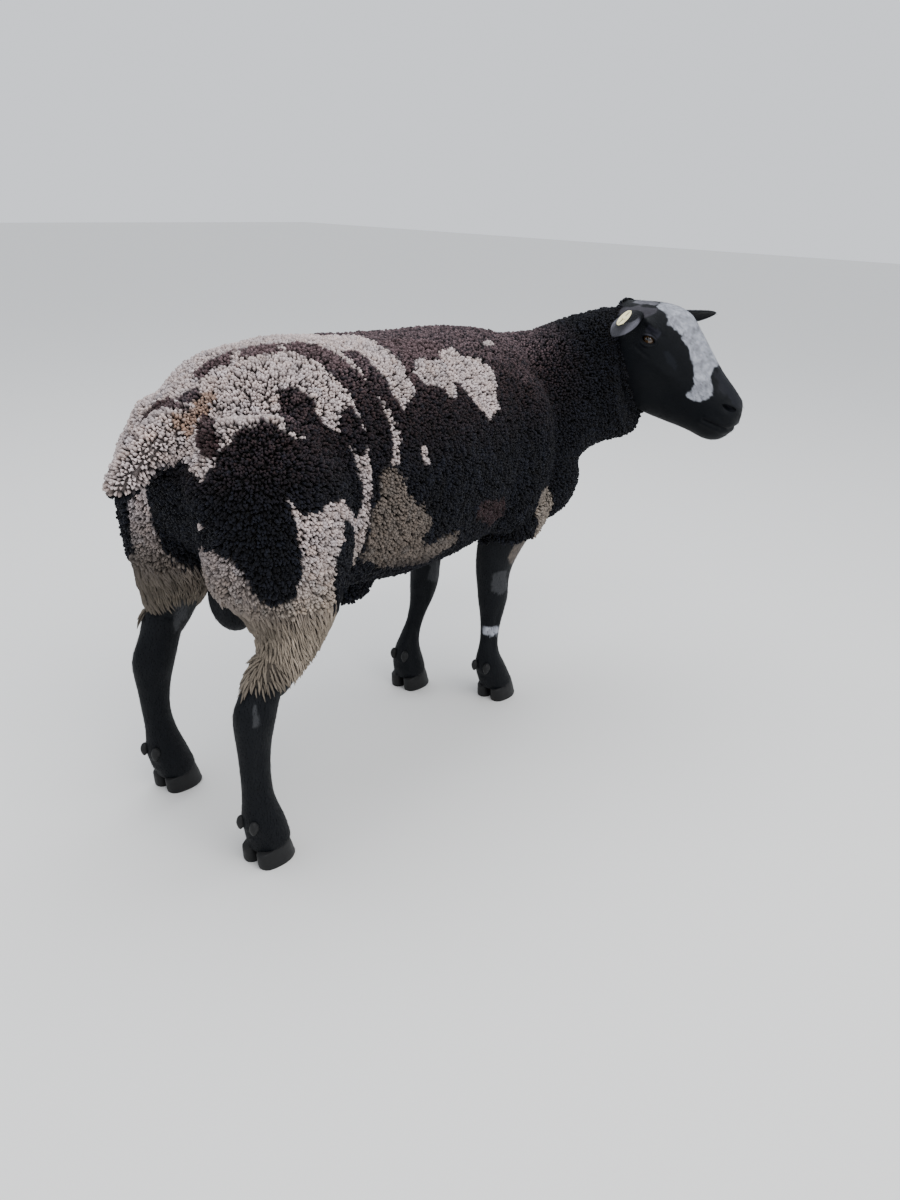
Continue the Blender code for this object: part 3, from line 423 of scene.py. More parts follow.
EYE_SLANT = math.radians(-22)
BROW_PLACE = (0.068, 0.0540, 0.004)
BROW_SIZES = (0.026, 0.0200, 0.0120)
NOSTRIL_PLACE = (0.286, 0.0315, -0.028)
NOSTRIL_SIZES = (0.0165, 0.0105, 0.0050)
MOUTH_LINE = [
    (0.262, 0.050, -0.079),
    (0.276, 0.048, -0.074),
    (0.290, 0.042, -0.070),
    (0.303, 0.032, -0.066),
    (0.314, 0.016, -0.063),
    (0.319, 0.000, -0.062),
]


def on_head(place, side):
    """A place given for the left side of the head; side is 1 for left and -1 for right."""
    return HEAD_FRAME @ Vector((place[0], place[1] * side, place[2]))


def eye_turn(side):
    return HEAD_AXES @ Matrix.Rotation(EYE_SLANT, 3, "Y") @ Matrix.Rotation(side * math.radians(12), 3, "X")


def lid_ring(side):
    """Both lids as one rolled rim round the opening, thicker above."""
    turn = eye_turn(side)
    centre = on_head((EYE_PLACE[0], EYE_PLACE[1] + EYE_RADIUS - 0.0005, EYE_PLACE[2]), side)
    bpy.ops.object.select_all(action="DESELECT")
    counts = {"major_segments": 44, "minor_segments": 12}
    bpy.ops.mesh.primitive_torus_add(major_radius=1.0, minor_radius=0.25, **counts)
    lids = bpy.context.object
    lids.name = "lids"
    for vertex in lids.data.vertices:
        x, y, z = vertex.co
        radius = math.hypot(x, y)
        way = Vector((x, 0, y)) / radius
        roll = 0.0034 + 0.0012 * max(way.z, 0)
        spine = Vector((0.0172 * way.x, -side * 0.0030 * way.x ** 2, 0.0103 * way.z))
        offset = way * (radius - 1.0) / 0.25 + Vector((0, side, 0)) * z / 0.25
        vertex.co = centre + turn @ (spine + offset * roll)
    only(lids)
    bpy.ops.object.mode_set(mode="EDIT")
    bpy.ops.mesh.select_all(action="SELECT")
    bpy.ops.mesh.normals_make_consistent(inside=False)
    bpy.ops.object.mode_set(mode="OBJECT")
    return lids


def creased(piece, line, width, depth):
    """Sinks a line into the surface, or raises it where the depth is negative."""
    mesh = piece.data
    spots = np.empty(len(mesh.vertices) * 3)
    mesh.vertices.foreach_get("co", spots)
    spots = spots.reshape(-1, 3)
    normals = np.empty(len(spots) * 3, dtype=np.float32)
    mesh.vertex_normals.foreach_get("vector", normals)
    nearest = np.full(len(spots), 9.0)
    for start, end in zip(line, line[1:]):
        start = np.array(start)
        way = np.array(end) - start
        share = np.clip((spots - start) @ way / (way @ way), 0, 1)
        nearest = np.minimum(nearest, np.linalg.norm(spots - start - share[:, None] * way, axis=1))
    spots -= normals.reshape(-1, 3) * (depth * np.exp(-((nearest / width) ** 2)))[:, None]
    mesh.vertices.foreach_set("co", spots.ravel())
    mesh.update()


hoops = []
for along, top, bottom, crown, cheek, jaw in HEAD:
    deep = top - bottom
    half = [
        (crown * 0.42, top - deep * 0.01),
        (crown, top - deep * 0.09),
        (crown * 0.3 + cheek * 0.7, top - deep * 0.24),
        (cheek, top - deep * 0.42),
        (cheek * 0.95, top - deep * 0.63),
        (jaw, top - deep * 0.86),
        (jaw * 0.45, bottom + deep * 0.01),
    ]
    hoop = [HEAD_FRAME @ Vector((along, y, z)) for y, z in half]
    hoop += [HEAD_FRAME @ Vector((along, -y, z)) for y, z in reversed(half)]
    hoops.append(np.array(hoop))
head = hooped("head_form", hoops)
shaped(head, "SUBSURF", levels=2, render_levels=2)
for side in (1, -1):
    cut(head, ball("brow", on_head(BROW_PLACE, side), BROW_SIZES, 24, 14, HEAD_AXES), "UNION")
melted(head, 0.0024, 3)
sliced(head, POLL + FACE_WAY * (HEAD_PLANE - 0.008), -FACE_WAY)
for side in (1, -1):
    # Cheek muscle, the crest in front of it, the hollow over the eye and the wing of the nostril.
    dented(head, on_head((0.070, 0.074, -0.095), side), (0.040, 0.03, 0.045), 0.003, HEAD_AXES)
    dented(head, on_head((0.150, 0.060, -0.050), side), (0.045, 0.02, 0.012), 0.003, HEAD_AXES)
    dented(head, on_head((0.160, 0.052, -0.085), side), (0.040, 0.03, 0.022), -0.003, HEAD_AXES)
    dented(head, on_head((0.045, 0.052, 0.012), side), (0.012, 0.02, 0.010), -0.003, HEAD_AXES)
    dented(head, on_head((0.285, 0.032, -0.022), side), (0.016, 0.02, 0.010), 0.0040, HEAD_AXES)
    dented(head, on_head((0.288, 0.034, -0.042), side), (0.016, 0.02, 0.009), 0.0030, HEAD_AXES)
    tear = [(0.100, 0.066, -0.036), (0.118, 0.060, -0.047), (0.134, 0.056, -0.054)]
    creased(head, [on_head(place, side) for place in tear], 0.0040, 0.0030)
    under = [(0.060, 0.078, -0.044), (0.080, 0.078, -0.046), (0.100, 0.074, -0.045)]
    creased(head, [on_head(place, side) for place in under], 0.0030, 0.0016)
mouth = [on_head(place, 1) for place in MOUTH_LINE]
mouth += [on_head(place, -1) for place in reversed(MOUTH_LINE[:-1])]
on_skin = []
for place in mouth:
    found, spot, normal, index = head.closest_point_on_mesh(place)
    on_skin.append(spot)
upper_lip = [spot + HEAD_AXES @ Vector((0.002, 0, 0.010)) for spot in on_skin]
lower_lip = [spot + HEAD_AXES @ Vector((-0.002, 0, -0.009)) for spot in on_skin]
creased(head, upper_lip, 0.006, -0.0018)
creased(head, lower_lip, 0.006, -0.0016)
creased(head, on_skin, 0.0028, 0.0042)
parting = [on_head((0.308, 0, -0.036), 1), on_head((0.316, 0, -0.050), 1), on_head((0.318, 0, -0.060), 1)]
creased(head, parting, 0.0026, 0.0030)
for side in (1, -1):
    cut(head, lid_ring(side), "UNION")
for side in (1, -1):
    place = on_head(EYE_PLACE, side)
    cut(head, ball("opening", place, EYE_OPENING, 36, 18, eye_turn(side)), "DIFFERENCE")
    cut(head, ball("socket", place, (EYE_RADIUS + 0.0002,) * 3, 36, 18, eye_turn(side)), "DIFFERENCE")
    slit = HEAD_AXES @ Matrix.Rotation(side * math.radians(-28), 3, "Z")
    slit = slit @ Matrix.Rotation(math.radians(-8), 3, "Y")
    cut(head, ball("nostril", on_head(NOSTRIL_PLACE, side), NOSTRIL_SIZES, 24, 12, slit), "DIFFERENCE")


# The ears: thin gristle under short hair, each a leaf rolled into a tube at the root and opening
# into a shallow cup towards the tip. Each is a row of hoops round the leaf, eased, and joined to the head.
EAR_PATHS = {
    -1: ((0.028, -0.046, -0.001), (0.039, -0.157, -0.034), 1.00, -0.30, 0.008),
    1: ((0.030, 0.048, -0.004), (0.104, 0.157, 0.044), 0.70, 0.75, -0.009),
}
EAR = [
    (0.00, 0.0115, 100, 0.0050),
    (0.22, 0.0155, 86, 0.0046),
    (0.40, 0.0210, 62, 0.0042),
    (0.55, 0.0232, 52, 0.0038),
    (0.70, 0.0218, 44, 0.0034),
    (0.83, 0.0175, 38, 0.0030),
    (0.94, 0.0100, 33, 0.0026),
    (1.00, 0.0026, 29, 0.0020),
]
EAR_SIDES = 9


def ear_lines(side):
    """Root, tip, direction, width direction and back direction of an ear."""
    start, end, rise, lean, bow = EAR_PATHS[side]
    root, tip = HEAD_FRAME @ Vector(start), HEAD_FRAME @ Vector(end)
    along = (tip - root).normalized()
    forward = Matrix.Rotation(HEAD_TURN, 3, "Z") @ Vector((1, 0, 0))
    back = Vector((0, 0, rise)) - forward * lean
    back = (back - along * back.dot(along)).normalized()
    return root, tip, along, back.cross(along), back


for side, word in ((1, "left"), (-1, "right")):
    root, tip, along, width, back = ear_lines(side)
    hoops = []
    for share, half, angle, thick in EAR:
        angle = math.radians(angle)
        radius = half / math.sin(min(angle, math.pi / 2))
        centre = root + (tip - root) * share + back * EAR_PATHS[side][4] * math.sin(math.pi * share)
        centre -= back * radius * math.cos(angle)
        outer = []
        inner = []
        for step in range(EAR_SIDES):
            bend = angle * (2 * step / (EAR_SIDES - 1) - 1)
            out = width * math.sin(bend) + back * math.cos(bend)
            outer.append(centre + out * radius)
            inner.append(centre + out * max(radius - thick, radius * 0.3))
        hoops.append(np.array(outer + list(reversed(inner))))
    ear = hooped("ear_form", hoops)
    shaped(ear, "SUBSURF", levels=2, render_levels=2)
    cut(head, ear, "UNION")


# The skin: the whole animal in one closed hide, so that no seam shows between its parts.
# Trunk, legs and head are joined in one body, the neck eased into the back of the head, and the hide
# laid out flat once, which gives every tuft of the coat its place on the map that is baked.
skin = trunk
for leg in legs:
    cut(skin, leg, "UNION")
cut(skin, head, "UNION")
skin.name = "skin"


def read_spots(mesh):
    spots = np.empty(len(mesh.vertices) * 3)
    mesh.vertices.foreach_get("co", spots)
    return spots.reshape(-1, 3)


def read_normals(mesh):
    normals = np.empty(len(mesh.vertices) * 3, dtype=np.float32)
    mesh.vertex_normals.foreach_get("vector", normals)
    return normals.reshape(-1, 3).astype(float)


def before_poll(points):
    """How far points lie in front of the plane behind the ears."""
    return (points - np.array(POLL)) @ np.array(FACE_WAY)


spots = read_spots(skin.data)
step_at_neck = np.abs(before_poll(spots) - HEAD_PLANE) < 0.022
step_at_neck &= np.linalg.norm((spots - np.array(POLL)) @ np.array(HEAD_AXES)[:, 1:2], axis=1) < 0.072
group = skin.vertex_groups.new(name="easing")
group.add(np.flatnonzero(step_at_neck).tolist(), 1.0, "REPLACE")
shaped(skin, "SMOOTH", factor=0.5, iterations=8, vertex_group="easing")
skin.vertex_groups.clear()
only(skin)
bpy.ops.object.mode_set(mode="EDIT")
bpy.ops.mesh.select_all(action="SELECT")
bpy.ops.mesh.normals_make_consistent(inside=False)
bpy.ops.uv.smart_project(angle_limit=math.radians(66), island_margin=0.001)
bpy.ops.object.mode_set(mode="OBJECT")
bpy.ops.object.shade_smooth()
skin.data.uv_layers[0].name = "OFBake"


# The markings: black, cream and grey wool and hair, most coloured in the fibre itself as it grows; one is a
# painted shadow under the tail, and two on the face are painted sheen.
# Each is an outline lying on the hide, and the same outlines colour the skin, the fleece and the hair.
# A corner with two values is a place in the photograph's 900 by 1200 pixels, carried along its line of
# sight to the coat. One with three is in metres, on the head in the head's own directions.
CAMERA_PLACE = Vector((-1.371, -1.236, 1.040))
CAMERA_PITCH = math.radians(21.5)
CAMERA_ROLL = math.radians(2.3)
CAMERA_HEADING = Vector((0.806, 0.592, 0.0))
PICTURE_MIDDLE = (450, 600)
FOCAL_PIXELS = 1050.0
# The blue tint of the blacks is a painted reflection of the sky on the black wool and hair.
BLACK = (0.0060, 0.0070, 0.0115)
RUSTY_BLACK = (0.040, 0.024, 0.026)
CREAM = (0.760, 0.640, 0.620)
GREY_CREAM = (0.640, 0.545, 0.530)
RUST = (0.420, 0.280, 0.215)
TAN = (0.200, 0.165, 0.140)
# Painted reflection: the blue in the black hair stands for the sky's sheen on it.
HAIR_BLACK = (0.0012, 0.0024, 0.0048)
WHITE_HAIR = (0.520, 0.540, 0.610)
GREY_HAIR = (0.048, 0.050, 0.055)
MARKS = [
    ("rust curls", RUST, 0.010, [
        (190, 404), (200, 394), (212, 390), (218, 398), (200, 415), (192, 428), (182, 432),
        (-0.420, -0.025, 0.700), (-0.405, -0.020, 0.710)]),
    ("dark of the rump", RUSTY_BLACK, 0.006, [
        (200, 415), (212, 420), (219, 432), (217, 448), (210, 457), (200, 452), (196, 440), (196, 425)]),
    ("croup spot", BLACK, 0.003, [
        (281, 390), (292, 385), (305, 391), (314, 398), (318, 412), (325, 421), (320, 432), (308, 435),
        (296, 431), (288, 426), (281, 413)]),
    ("croup top", RUSTY_BLACK, 0.005, [
        (241, 350), (250, 345), (265, 343), (280, 343), (282, 349), (268, 352), (242, 356)]),
    ("left rump", RUSTY_BLACK, 0.006, [
        (190, 372), (205, 362), (232, 350), (232, 357), (215, 366), (200, 376)]),
    ("left spot", BLACK, 0.003, [
        (176, 397), (193, 386), (200, 390), (199, 396), (190, 400), (178, 402)]),
    ("left burgundy", RUSTY_BLACK, 0.006, [
        (-0.405, 0.105, 0.645), (-0.400, 0.095, 0.670), (-0.395, 0.085, 0.690), (-0.385, 0.080, 0.710),
        (-0.380, 0.065, 0.720), (165, 398), (178, 400), (182, 408), (171, 408),
        (-0.405, 0.020, 0.708), (-0.412, 0.045, 0.690), (-0.418, 0.070, 0.665)]),
    ("haunch", BLACK, 0.003, [
        (222, 470), (226, 454), (242, 433), (255, 429), (267, 424), (287, 434), (296, 438), (308, 438),
        (321, 422), (339, 431), (339, 413), (350, 406), (366, 433), (363, 456), (351, 446), (356, 462),
        (363, 485), (360, 512), (354, 517), (342, 500), (327, 502), (318, 512), (304, 515), (288, 497),
        (296, 516), (299, 537), (303, 568), (297, 594), (275, 601), (255, 588), (242, 559), (222, 549),
        (215, 541), (204, 491)]),
    ("first stripe", BLACK, 0.003, [
        (291, 347), (308, 356), (329, 369), (353, 396), (369, 446), (374, 472), (375, 499), (377, 515),
        (390, 491), (394, 446), (390, 419), (376, 392), (357, 369), (338, 354), (323, 347), (300, 343)]),
    ("top of the first stripe", RUSTY_BLACK, 0.005, [
        (285, 343), (300, 341), (318, 344), (348, 364), (338, 368), (322, 362), (290, 350)]),
    ("second stripe", BLACK, 0.003, [
        (342, 352), (352, 351), (360, 352), (370, 360), (388, 380), (392, 390), (406, 408), (404, 420),
        (396, 420), (388, 406), (374, 388), (364, 374), (352, 360)]),
    ("brown streak", RUSTY_BLACK, 0.003, [
        (404, 356), (410, 360), (414, 368), (418, 388), (412, 382), (406, 370), (402, 360)]),
    ("brown saddle", RUSTY_BLACK, 0.006, [
        (380, 340), (400, 338), (425, 338), (442, 344), (442, 356), (425, 354), (408, 356), (394, 350)]),
    ("small cream patch", GREY_CREAM, 0.004, [
        (416, 360), (438, 358), (448, 366), (455, 378), (456, 394), (450, 394), (444, 386), (424, 382),
        (416, 370)]),
    ("cream blotch", CREAM, 0.004, [
        (442, 351), (454, 348), (466, 358), (478, 358), (490, 364), (496, 374), (496, 390), (499, 404),
        (490, 416), (484, 406), (474, 400), (460, 382), (452, 378), (442, 358)]),
    ("fleck", GREY_CREAM, 0.003, [
        (484, 341), (490, 338), (494, 341), (490, 344), (485, 344)]),
    ("fleck", CREAM, 0.003, [
        (422, 444), (427, 445), (431, 455), (430, 463), (425, 460)]),
    ("belly tan", TAN, 0.008, [
        (383, 476), (396, 468), (416, 506), (434, 517), (422, 542), (430, 545), (442, 536), (460, 530),
        (456, 542), (442, 552), (426, 562), (396, 566), (382, 565), (370, 560), (366, 554), (368, 540),
        (373, 522), (380, 500)]),
    ("dark fold", BLACK, 0.005, [
        (346, 520), (-0.205, -0.194, 0.545), (-0.185, -0.182, 0.510), (-0.190, -0.185, 0.480),
        (-0.205, -0.180, 0.430), (-0.224, -0.186, 0.415), (340, 603), (337, 590), (-0.272, -0.213, 0.496),
        (-0.270, -0.214, 0.519), (-0.250, -0.211, 0.535)]),
    # Painted shadow: black laid where deep shade falls under the tail, between it and the thighs.
    ("painted shadow under the tail", BLACK, 0.005, [
        (-0.428, -0.098, 0.640), (-0.428, -0.020, 0.650), (-0.419, 0.030, 0.625), (-0.405, 0.055, 0.575),
        (150, 530), (158, 556), (-0.361, 0.064, 0.452), (-0.343, 0.045, 0.430), (-0.360, 0.000, 0.460),
        (-0.385, -0.050, 0.500), (-0.410, -0.088, 0.545), (-0.425, -0.104, 0.600)]),
    ("left edge", BLACK, 0.005, [
        (-0.408, 0.102, 0.600), (-0.403, 0.110, 0.545), (-0.398, 0.119, 0.500), (-0.385, 0.140, 0.462),
        (-0.360, 0.175, 0.445), (-0.320, 0.215, 0.470), (-0.290, 0.235, 0.560), (-0.320, 0.225, 0.610),
        (-0.370, 0.165, 0.625)]),
    ("armpit", RUSTY_BLACK, 0.008, [
        (480, 502), (506, 500), (508, 516), (492, 524), (478, 518)]),
    ("brisket cream", (0.340, 0.290, 0.245), 0.004, [
        (0.340, -0.190, 0.478), (0.360, -0.193, 0.492), (0.394, -0.182, 0.480), (0.420, -0.172, 0.450),
        (552, 512), (0.443, -0.142, 0.400), (0.432, -0.130, 0.378), (0.400, -0.128, 0.352),
        (0.360, -0.130, 0.335), (0.325, -0.130, 0.335), (0.337, -0.138, 0.358), (0.370, -0.150, 0.385),
        (0.375, -0.163, 0.420), (0.350, -0.175, 0.440)]),
    ("left side stripe", CREAM, 0.006, [
        (-0.080, 0.070, 0.790), (-0.030, 0.150, 0.745), (-0.005, 0.195, 0.680), (0.005, 0.207, 0.590),
        (-0.020, 0.205, 0.520), (-0.045, 0.206, 0.560), (-0.040, 0.200, 0.650), (-0.075, 0.165, 0.725),
        (-0.120, 0.090, 0.785)]),
    ("left side patch", GREY_CREAM, 0.006, [
        (0.130, 0.110, 0.768), (0.200, 0.130, 0.750), (0.240, 0.165, 0.705), (0.200, 0.190, 0.660),
        (0.145, 0.190, 0.675), (0.115, 0.160, 0.725)]),
]
# Black hair below, with the few pale places on the legs.
LEG_MARKS = [
    ("fore right patch", GREY_HAIR, 0.004, [
        (490, 572), (506, 570), (0.352, -0.118, 0.262), (0.331, -0.118, 0.256), (491, 590)]),
    ("fore right band", WHITE_HAIR, 0.002, [
        (0.316, -0.084, 0.182), (495, 626), (0.350, -0.112, 0.170), (0.342, -0.108, 0.160), (492, 636),
        (482, 634)]),
    ("fore left streak", GREY_HAIR, 0.004, [
        (0.318, 0.056, 0.292), (438, 562), (0.350, 0.062, 0.235), (428, 580)]),
    ("left shin", GREY_HAIR, 0.004, [
        (180, 588), (190, 585), (188, 612), (-0.318, 0.105, 0.312), (173, 635), (174, 618)]),
    ("front of the arm", TAN, 0.006, [
        (0.337, -0.150, 0.405), (0.400, -0.130, 0.405), (0.392, -0.128, 0.350), (0.352, -0.130, 0.322),
        (0.330, -0.130, 0.338)]),
    ("hock streak", GREY_HAIR, 0.003, [
        (253, 705), (256, 705), (257, 728), (253, 728)]),
]
# White and grey hair of the face, with painted sheen over the brow and along the bridge of the nose.
FACE_MARKS = [
    ("grey of the poll", (0.055, 0.052, 0.064), 0.006, [
        (606, 313), (620, 307), (640, 305), (658, 308), (655, 313), (640, 311), (620, 313)]),
    ("rim of the poll", (0.200, 0.198, 0.230), 0.005, [
        (630, 303), (640, 300), (651, 300), (660, 304), (654, 306), (640, 304)]),
    ("blaze", WHITE_HAIR, 0.003, [
        (0.040, -0.032, 0.028), (0.060, -0.040, 0.030), (669, 323), (676, 330), (684, 338), (690, 350),
        (0.176, -0.042, -0.006), (0.200, -0.040, -0.016), (711, 370), (717, 366), (0.205, 0.012, 0.008),
        (0.195, 0.030, 0.000), (0.150, 0.036, 0.016), (0.100, 0.040, 0.028), (0.060, 0.034, 0.030),
        (0.034, 0.024, 0.026)]),
    ("side of the blaze", WHITE_HAIR, 0.003, [
        (0.120, -0.040, 0.030), (0.122, -0.044, 0.016), (690, 350), (694, 358), (694, 372), (695, 384),
        (687, 396), (692, 399), (701, 401), (706, 399), (712, 394), (712, 388), (711, 378),
        (0.206, -0.025, 0.012), (0.160, -0.030, 0.026)]),
    ("left side of the blaze", WHITE_HAIR, 0.003, [
        (0.140, 0.036, 0.026), (0.150, 0.040, 0.006), (0.175, 0.042, -0.010), (0.200, 0.044, -0.030),
        (0.222, 0.042, -0.034), (0.224, 0.034, -0.014), (0.206, 0.024, 0.010)]),
    # Painted sheen: a lilac-grey highlight on the black hair over the brow.
    ("brow", (0.022, 0.023, 0.034), 0.006, [
        (645, 330), (649, 326), (654, 328), (659, 335), (652, 332)]),
    ("cheek streak", (0.007, 0.009, 0.014), 0.006, [
        (664, 352), (668, 352), (678, 366), (676, 370), (668, 362)]),
    # Painted sheen: a grey highlight along the top of the muzzle, where it catches the light.
    ("bridge of the nose", (0.012, 0.013, 0.019), 0.008, [
        (0.212, -0.028, 0.004), (0.212, 0.028, 0.004), (0.290, 0.026, -0.014), (0.304, 0.000, -0.020),
        (0.290, -0.026, -0.014)]),
]


def wobble(points, size, seed):
    """Smooth random values between -1 and 1 through space."""
    cells = points / size
    base = np.floor(cells).astype(np.int64)
    part = cells - base
    part = part * part * (3 - 2 * part)
    total = np.zeros(len(points))
    for corner in ((x, y, z) for x in (0, 1) for y in (0, 1) for z in (0, 1)):
        cell = base + np.array(corner)
        mixed = cell[:, 0] * 73856093 ^ cell[:, 1] * 19349663 ^ cell[:, 2] * 83492791 ^ seed * 40503
        mixed = (mixed ^ (mixed >> 13)) * 1274126177
        value = ((mixed ^ (mixed >> 16)) & 0xFFFF) / 32767.5 - 1
        total += value * np.where(np.array(corner), part, 1 - part).prod(axis=1)
    return total


def eased(values, low, high):
    share = np.clip((values - low) / (high - low), 0, 1)
    return share * share * (3 - 2 * share)


def within(points, normals, outline, soft):
    """How far points lie inside an outline on the hide, from 0 outside to 1 inside."""
    outline = np.array([tuple(corner) for corner in outline])
    middle = outline.mean(axis=0)
    rolled = np.roll(outline, -1, axis=0)
    facing = np.cross(outline - middle, rolled - middle).sum(axis=0)
    facing /= np.linalg.norm(facing)
    side = np.cross(facing, (0.31, 0.22, 0.93))
    side /= np.linalg.norm(side)
    over = np.cross(facing, side)
    flat = (points - middle) @ np.column_stack((side, over))
    corners = (outline - middle) @ np.column_stack((side, over))
    nearest = np.full(len(points), 9.0)
    crossings = np.zeros(len(points), dtype=int)
    for start, end in zip(corners, np.roll(corners, -1, axis=0)):
        way = end - start
        share = np.clip((flat - start) @ way / (way @ way), 0, 1)
        nearest = np.minimum(nearest, np.linalg.norm(flat - start - share[:, None] * way, axis=1))
        if start[1] != end[1]:
            level = (start[1] > flat[:, 1]) != (end[1] > flat[:, 1])
            crossings += level & (flat[:, 0] < start[0] + (flat[:, 1] - start[1]) * way[0] / way[1])
    signed = np.where(crossings % 2 == 1, nearest, -nearest)
    edge = wobble(points, 0.016, 3) * soft * 0.9 + wobble(points, 0.006, 5) * soft * 0.6
    reach = np.linalg.norm(corners, axis=1).max()
    near = (np.abs((points - middle) @ facing) < 0.55 * reach + 0.008) & (np.abs(normals @ facing) > 0.05)
    outward = np.sign((normals @ facing)[near & (signed > 0)].sum()) or 1.0
    near &= (normals @ facing) * outward > 0.05
    return eased(signed + edge, -soft * 0.35, soft * 0.35) * near


def laid_over(colours, colour, share):
    return colours + (np.array(colour) - colours) * share[:, None]


def wool_colours(points, normals):
    """The colour of the wool at places on the hide."""
    x, y, z = points.T
    colours = np.tile(np.array(BLACK), (len(points), 1))
    # The edge between the black forehand and the cream hindquarters runs forward as it climbs.
    heights = (0.40, 0.60, 0.63, 0.68, 0.70, 0.72, 0.77, 0.80)
    edge_right = np.interp(z, heights, (-0.170, -0.165, -0.110, -0.105, -0.062, -0.032, -0.012, 0.012))
    edge_left = np.interp(z, (0.40, 0.55, 0.66, 0.74, 0.80), (-0.200, -0.185, -0.150, -0.120, -0.060))
    edge = np.where(y < 0.0, edge_right, edge_left)
    edge = edge + wobble(points, 0.030, 11) * 0.010 + wobble(points, 0.010, 12) * 0.005
    pale = eased(edge - x, -0.003, 0.003)
    pale *= eased(z, 0.30, 0.33)
    tone = wobble(points, 0.060, 21)[:, None] * 0.5 + 0.5
    cream = np.array(CREAM) * (1 - tone) + np.array(GREY_CREAM) * tone
    low = eased(0.56 - z, 0.0, 0.16)[:, None]
    cream = cream * (1 - low) + np.array((0.430, 0.360, 0.285)) * low
    colours = colours + (cream - colours) * pale[:, None]
    for name, colour, soft, outline in MARKS:
        colours = laid_over(colours, colour, within(points, normals, outline, soft))
    # Underside of the belly, brisket and dock, and the bare-haired groin.
    under = eased(-normals[:, 2], 0.55, 0.80) * eased(x, -0.30, -0.22)
    colours = laid_over(colours, BLACK, under)
    # Pale wool is made darker low at the back of the hindquarters and low on their left side.
    back = eased(-0.33 - x, 0.0, 0.03) * eased(0.58 - z, 0.0, 0.05)
    inner = eased(y, 0.03, 0.08) * eased(0.52 - z, 0.0, 0.06) * (x < -0.2)
    pale = colours.mean(axis=1) > 0.15
    darker_low_behind_and_left = (1 - 0.42 * back) * (1 - 0.50 * inner)
    colours = np.where(pale[:, None], colours * darker_low_behind_and_left[:, None], colours)
    dock = eased(-0.425 - x, 0.0, 0.01) * (np.abs(y) < 0.06) * (z > 0.56)
    colours = laid_over(colours, BLACK, dock * eased(-normals[:, 2], 0.35, 0.60))
    colours = laid_over(colours, CREAM, dock * eased(normals[:, 2], -0.45, -0.20))
    colours = laid_over(colours, RUSTY_BLACK, dock * eased(y, 0.002, 0.014) * eased(z, 0.660, 0.680))
    groin = np.exp(-(((points - np.array(SCROTUM[0])) / (0.075, 0.056, 0.095)) ** 2).sum(1) ** 3)
    return laid_over(colours, HAIR_BLACK, groin)


def hair_colours(points, normals):
    """The colour of the short hair at places on the head and the legs."""
    colours = np.tile(np.array(HAIR_BLACK), (len(points), 1))
    for name, colour, soft, outline in LEG_MARKS + FACE_MARKS:
        colours = laid_over(colours, colour, within(points, normals, outline, soft))
    # White hairs are mixed with dark ones in streaks.
    streaks = wobble(points, 0.0045, 81) * 0.55 + wobble(points, 0.011, 82) * 0.45
    pale = colours.mean(axis=1) > 0.12
    colours = np.where(pale[:, None], colours * np.clip(0.82 + 0.55 * streaks, 0.22, 1.2)[:, None], colours)
    # The backs of the ears are greyish lilac with a paler rim.
    for side, strength in ((-1, 0.75), (1, 0.12)):
        root, tip, along, width, back = ear_lines(side)
        away = points - np.array(root)
        share = away @ np.array(along) / (tip - root).length
        on_back = eased(normals @ np.array(back), 0.1, 0.5) * eased(share, 0.25, 0.42) * (share < 1.2)
        on_back *= np.abs(away @ np.array(width)) < 0.045
        on_back *= np.abs(away @ np.array(back)) < 0.016
        rim = 0.25 + 0.75 * eased(np.abs(away @ np.array(width)), 0.007, 0.018)
        colours = laid_over(colours, (0.200, 0.200, 0.240), on_back * strength * rim)
    return colours


def wool_edge(points):
    """How far in front of the poll the wool reaches, further on the cheeks than on top."""
    return HEAD_PLANE - 0.004 + 0.024 * eased(0.775 - points[:, 2], 0.0, 0.06)


def woolly(points):
    """Where the hide carries fleece, from 0 on the short-haired head and legs to 1."""
    x, y, z = points.T
    ragged = wobble(points, 0.020, 31) * 0.010
    fleece = eased(wool_edge(points) - before_poll(points) + ragged * 0.8, -0.005, 0.005)
    lowest = np.where(y < 0.0, 0.322, np.interp(y, (0.05, 0.08, 0.12, 0.17), (0.425, 0.400, 0.368, 0.340)))
    hind = eased(z + ragged - lowest, -0.006, 0.006)
    fore = eased(z + ragged - 0.385, -0.006, 0.006)
    fleece *= np.where(x < 0.10, hind, fore)
    groin = (((points - np.array(SCROTUM[0])) / (0.056, 0.050, 0.078)) ** 2).sum(1) < 1.0
    return fleece * ~groin


def camera_axes():
    """The directions to the right, upwards and forwards of the camera."""
    forward = (CAMERA_HEADING * math.cos(CAMERA_PITCH) - Vector((0, 0, math.sin(CAMERA_PITCH)))).normalized()
    level = forward.cross(Vector((0, 0, 1))).normalized()
    above = level.cross(forward)
    right = level * math.cos(CAMERA_ROLL) + above * math.sin(CAMERA_ROLL)
    return right, above * math.cos(CAMERA_ROLL) - level * math.sin(CAMERA_ROLL), forward


def carried(outline, frame):
    """The corners of an outline in metres, with each pixel place carried to the coat."""
    right, upward, forward = camera_axes()
    corners = []
    for corner in outline:
        if len(corner) == 3:
            corners.append(frame @ Vector(corner))
            continue
        across = (corner[0] - PICTURE_MIDDLE[0]) / FOCAL_PIXELS
        down = (corner[1] - PICTURE_MIDDLE[1]) / FOCAL_PIXELS
        sight = (forward + right * across - upward * down).normalized()
        spot = coat_form.ray_cast(CAMERA_PLACE, sight)[0]
        if spot is None:
            # A sight line just past the outline of the animal gives the place on the coat nearest to it.
            line = [CAMERA_PLACE + sight * away for away in np.linspace(1.0, 3.2, 220)]
            spot = min((coat_form.find_nearest(place) for place in line), key=lambda found: found[3])[0]
        corners.append(spot)
    return corners


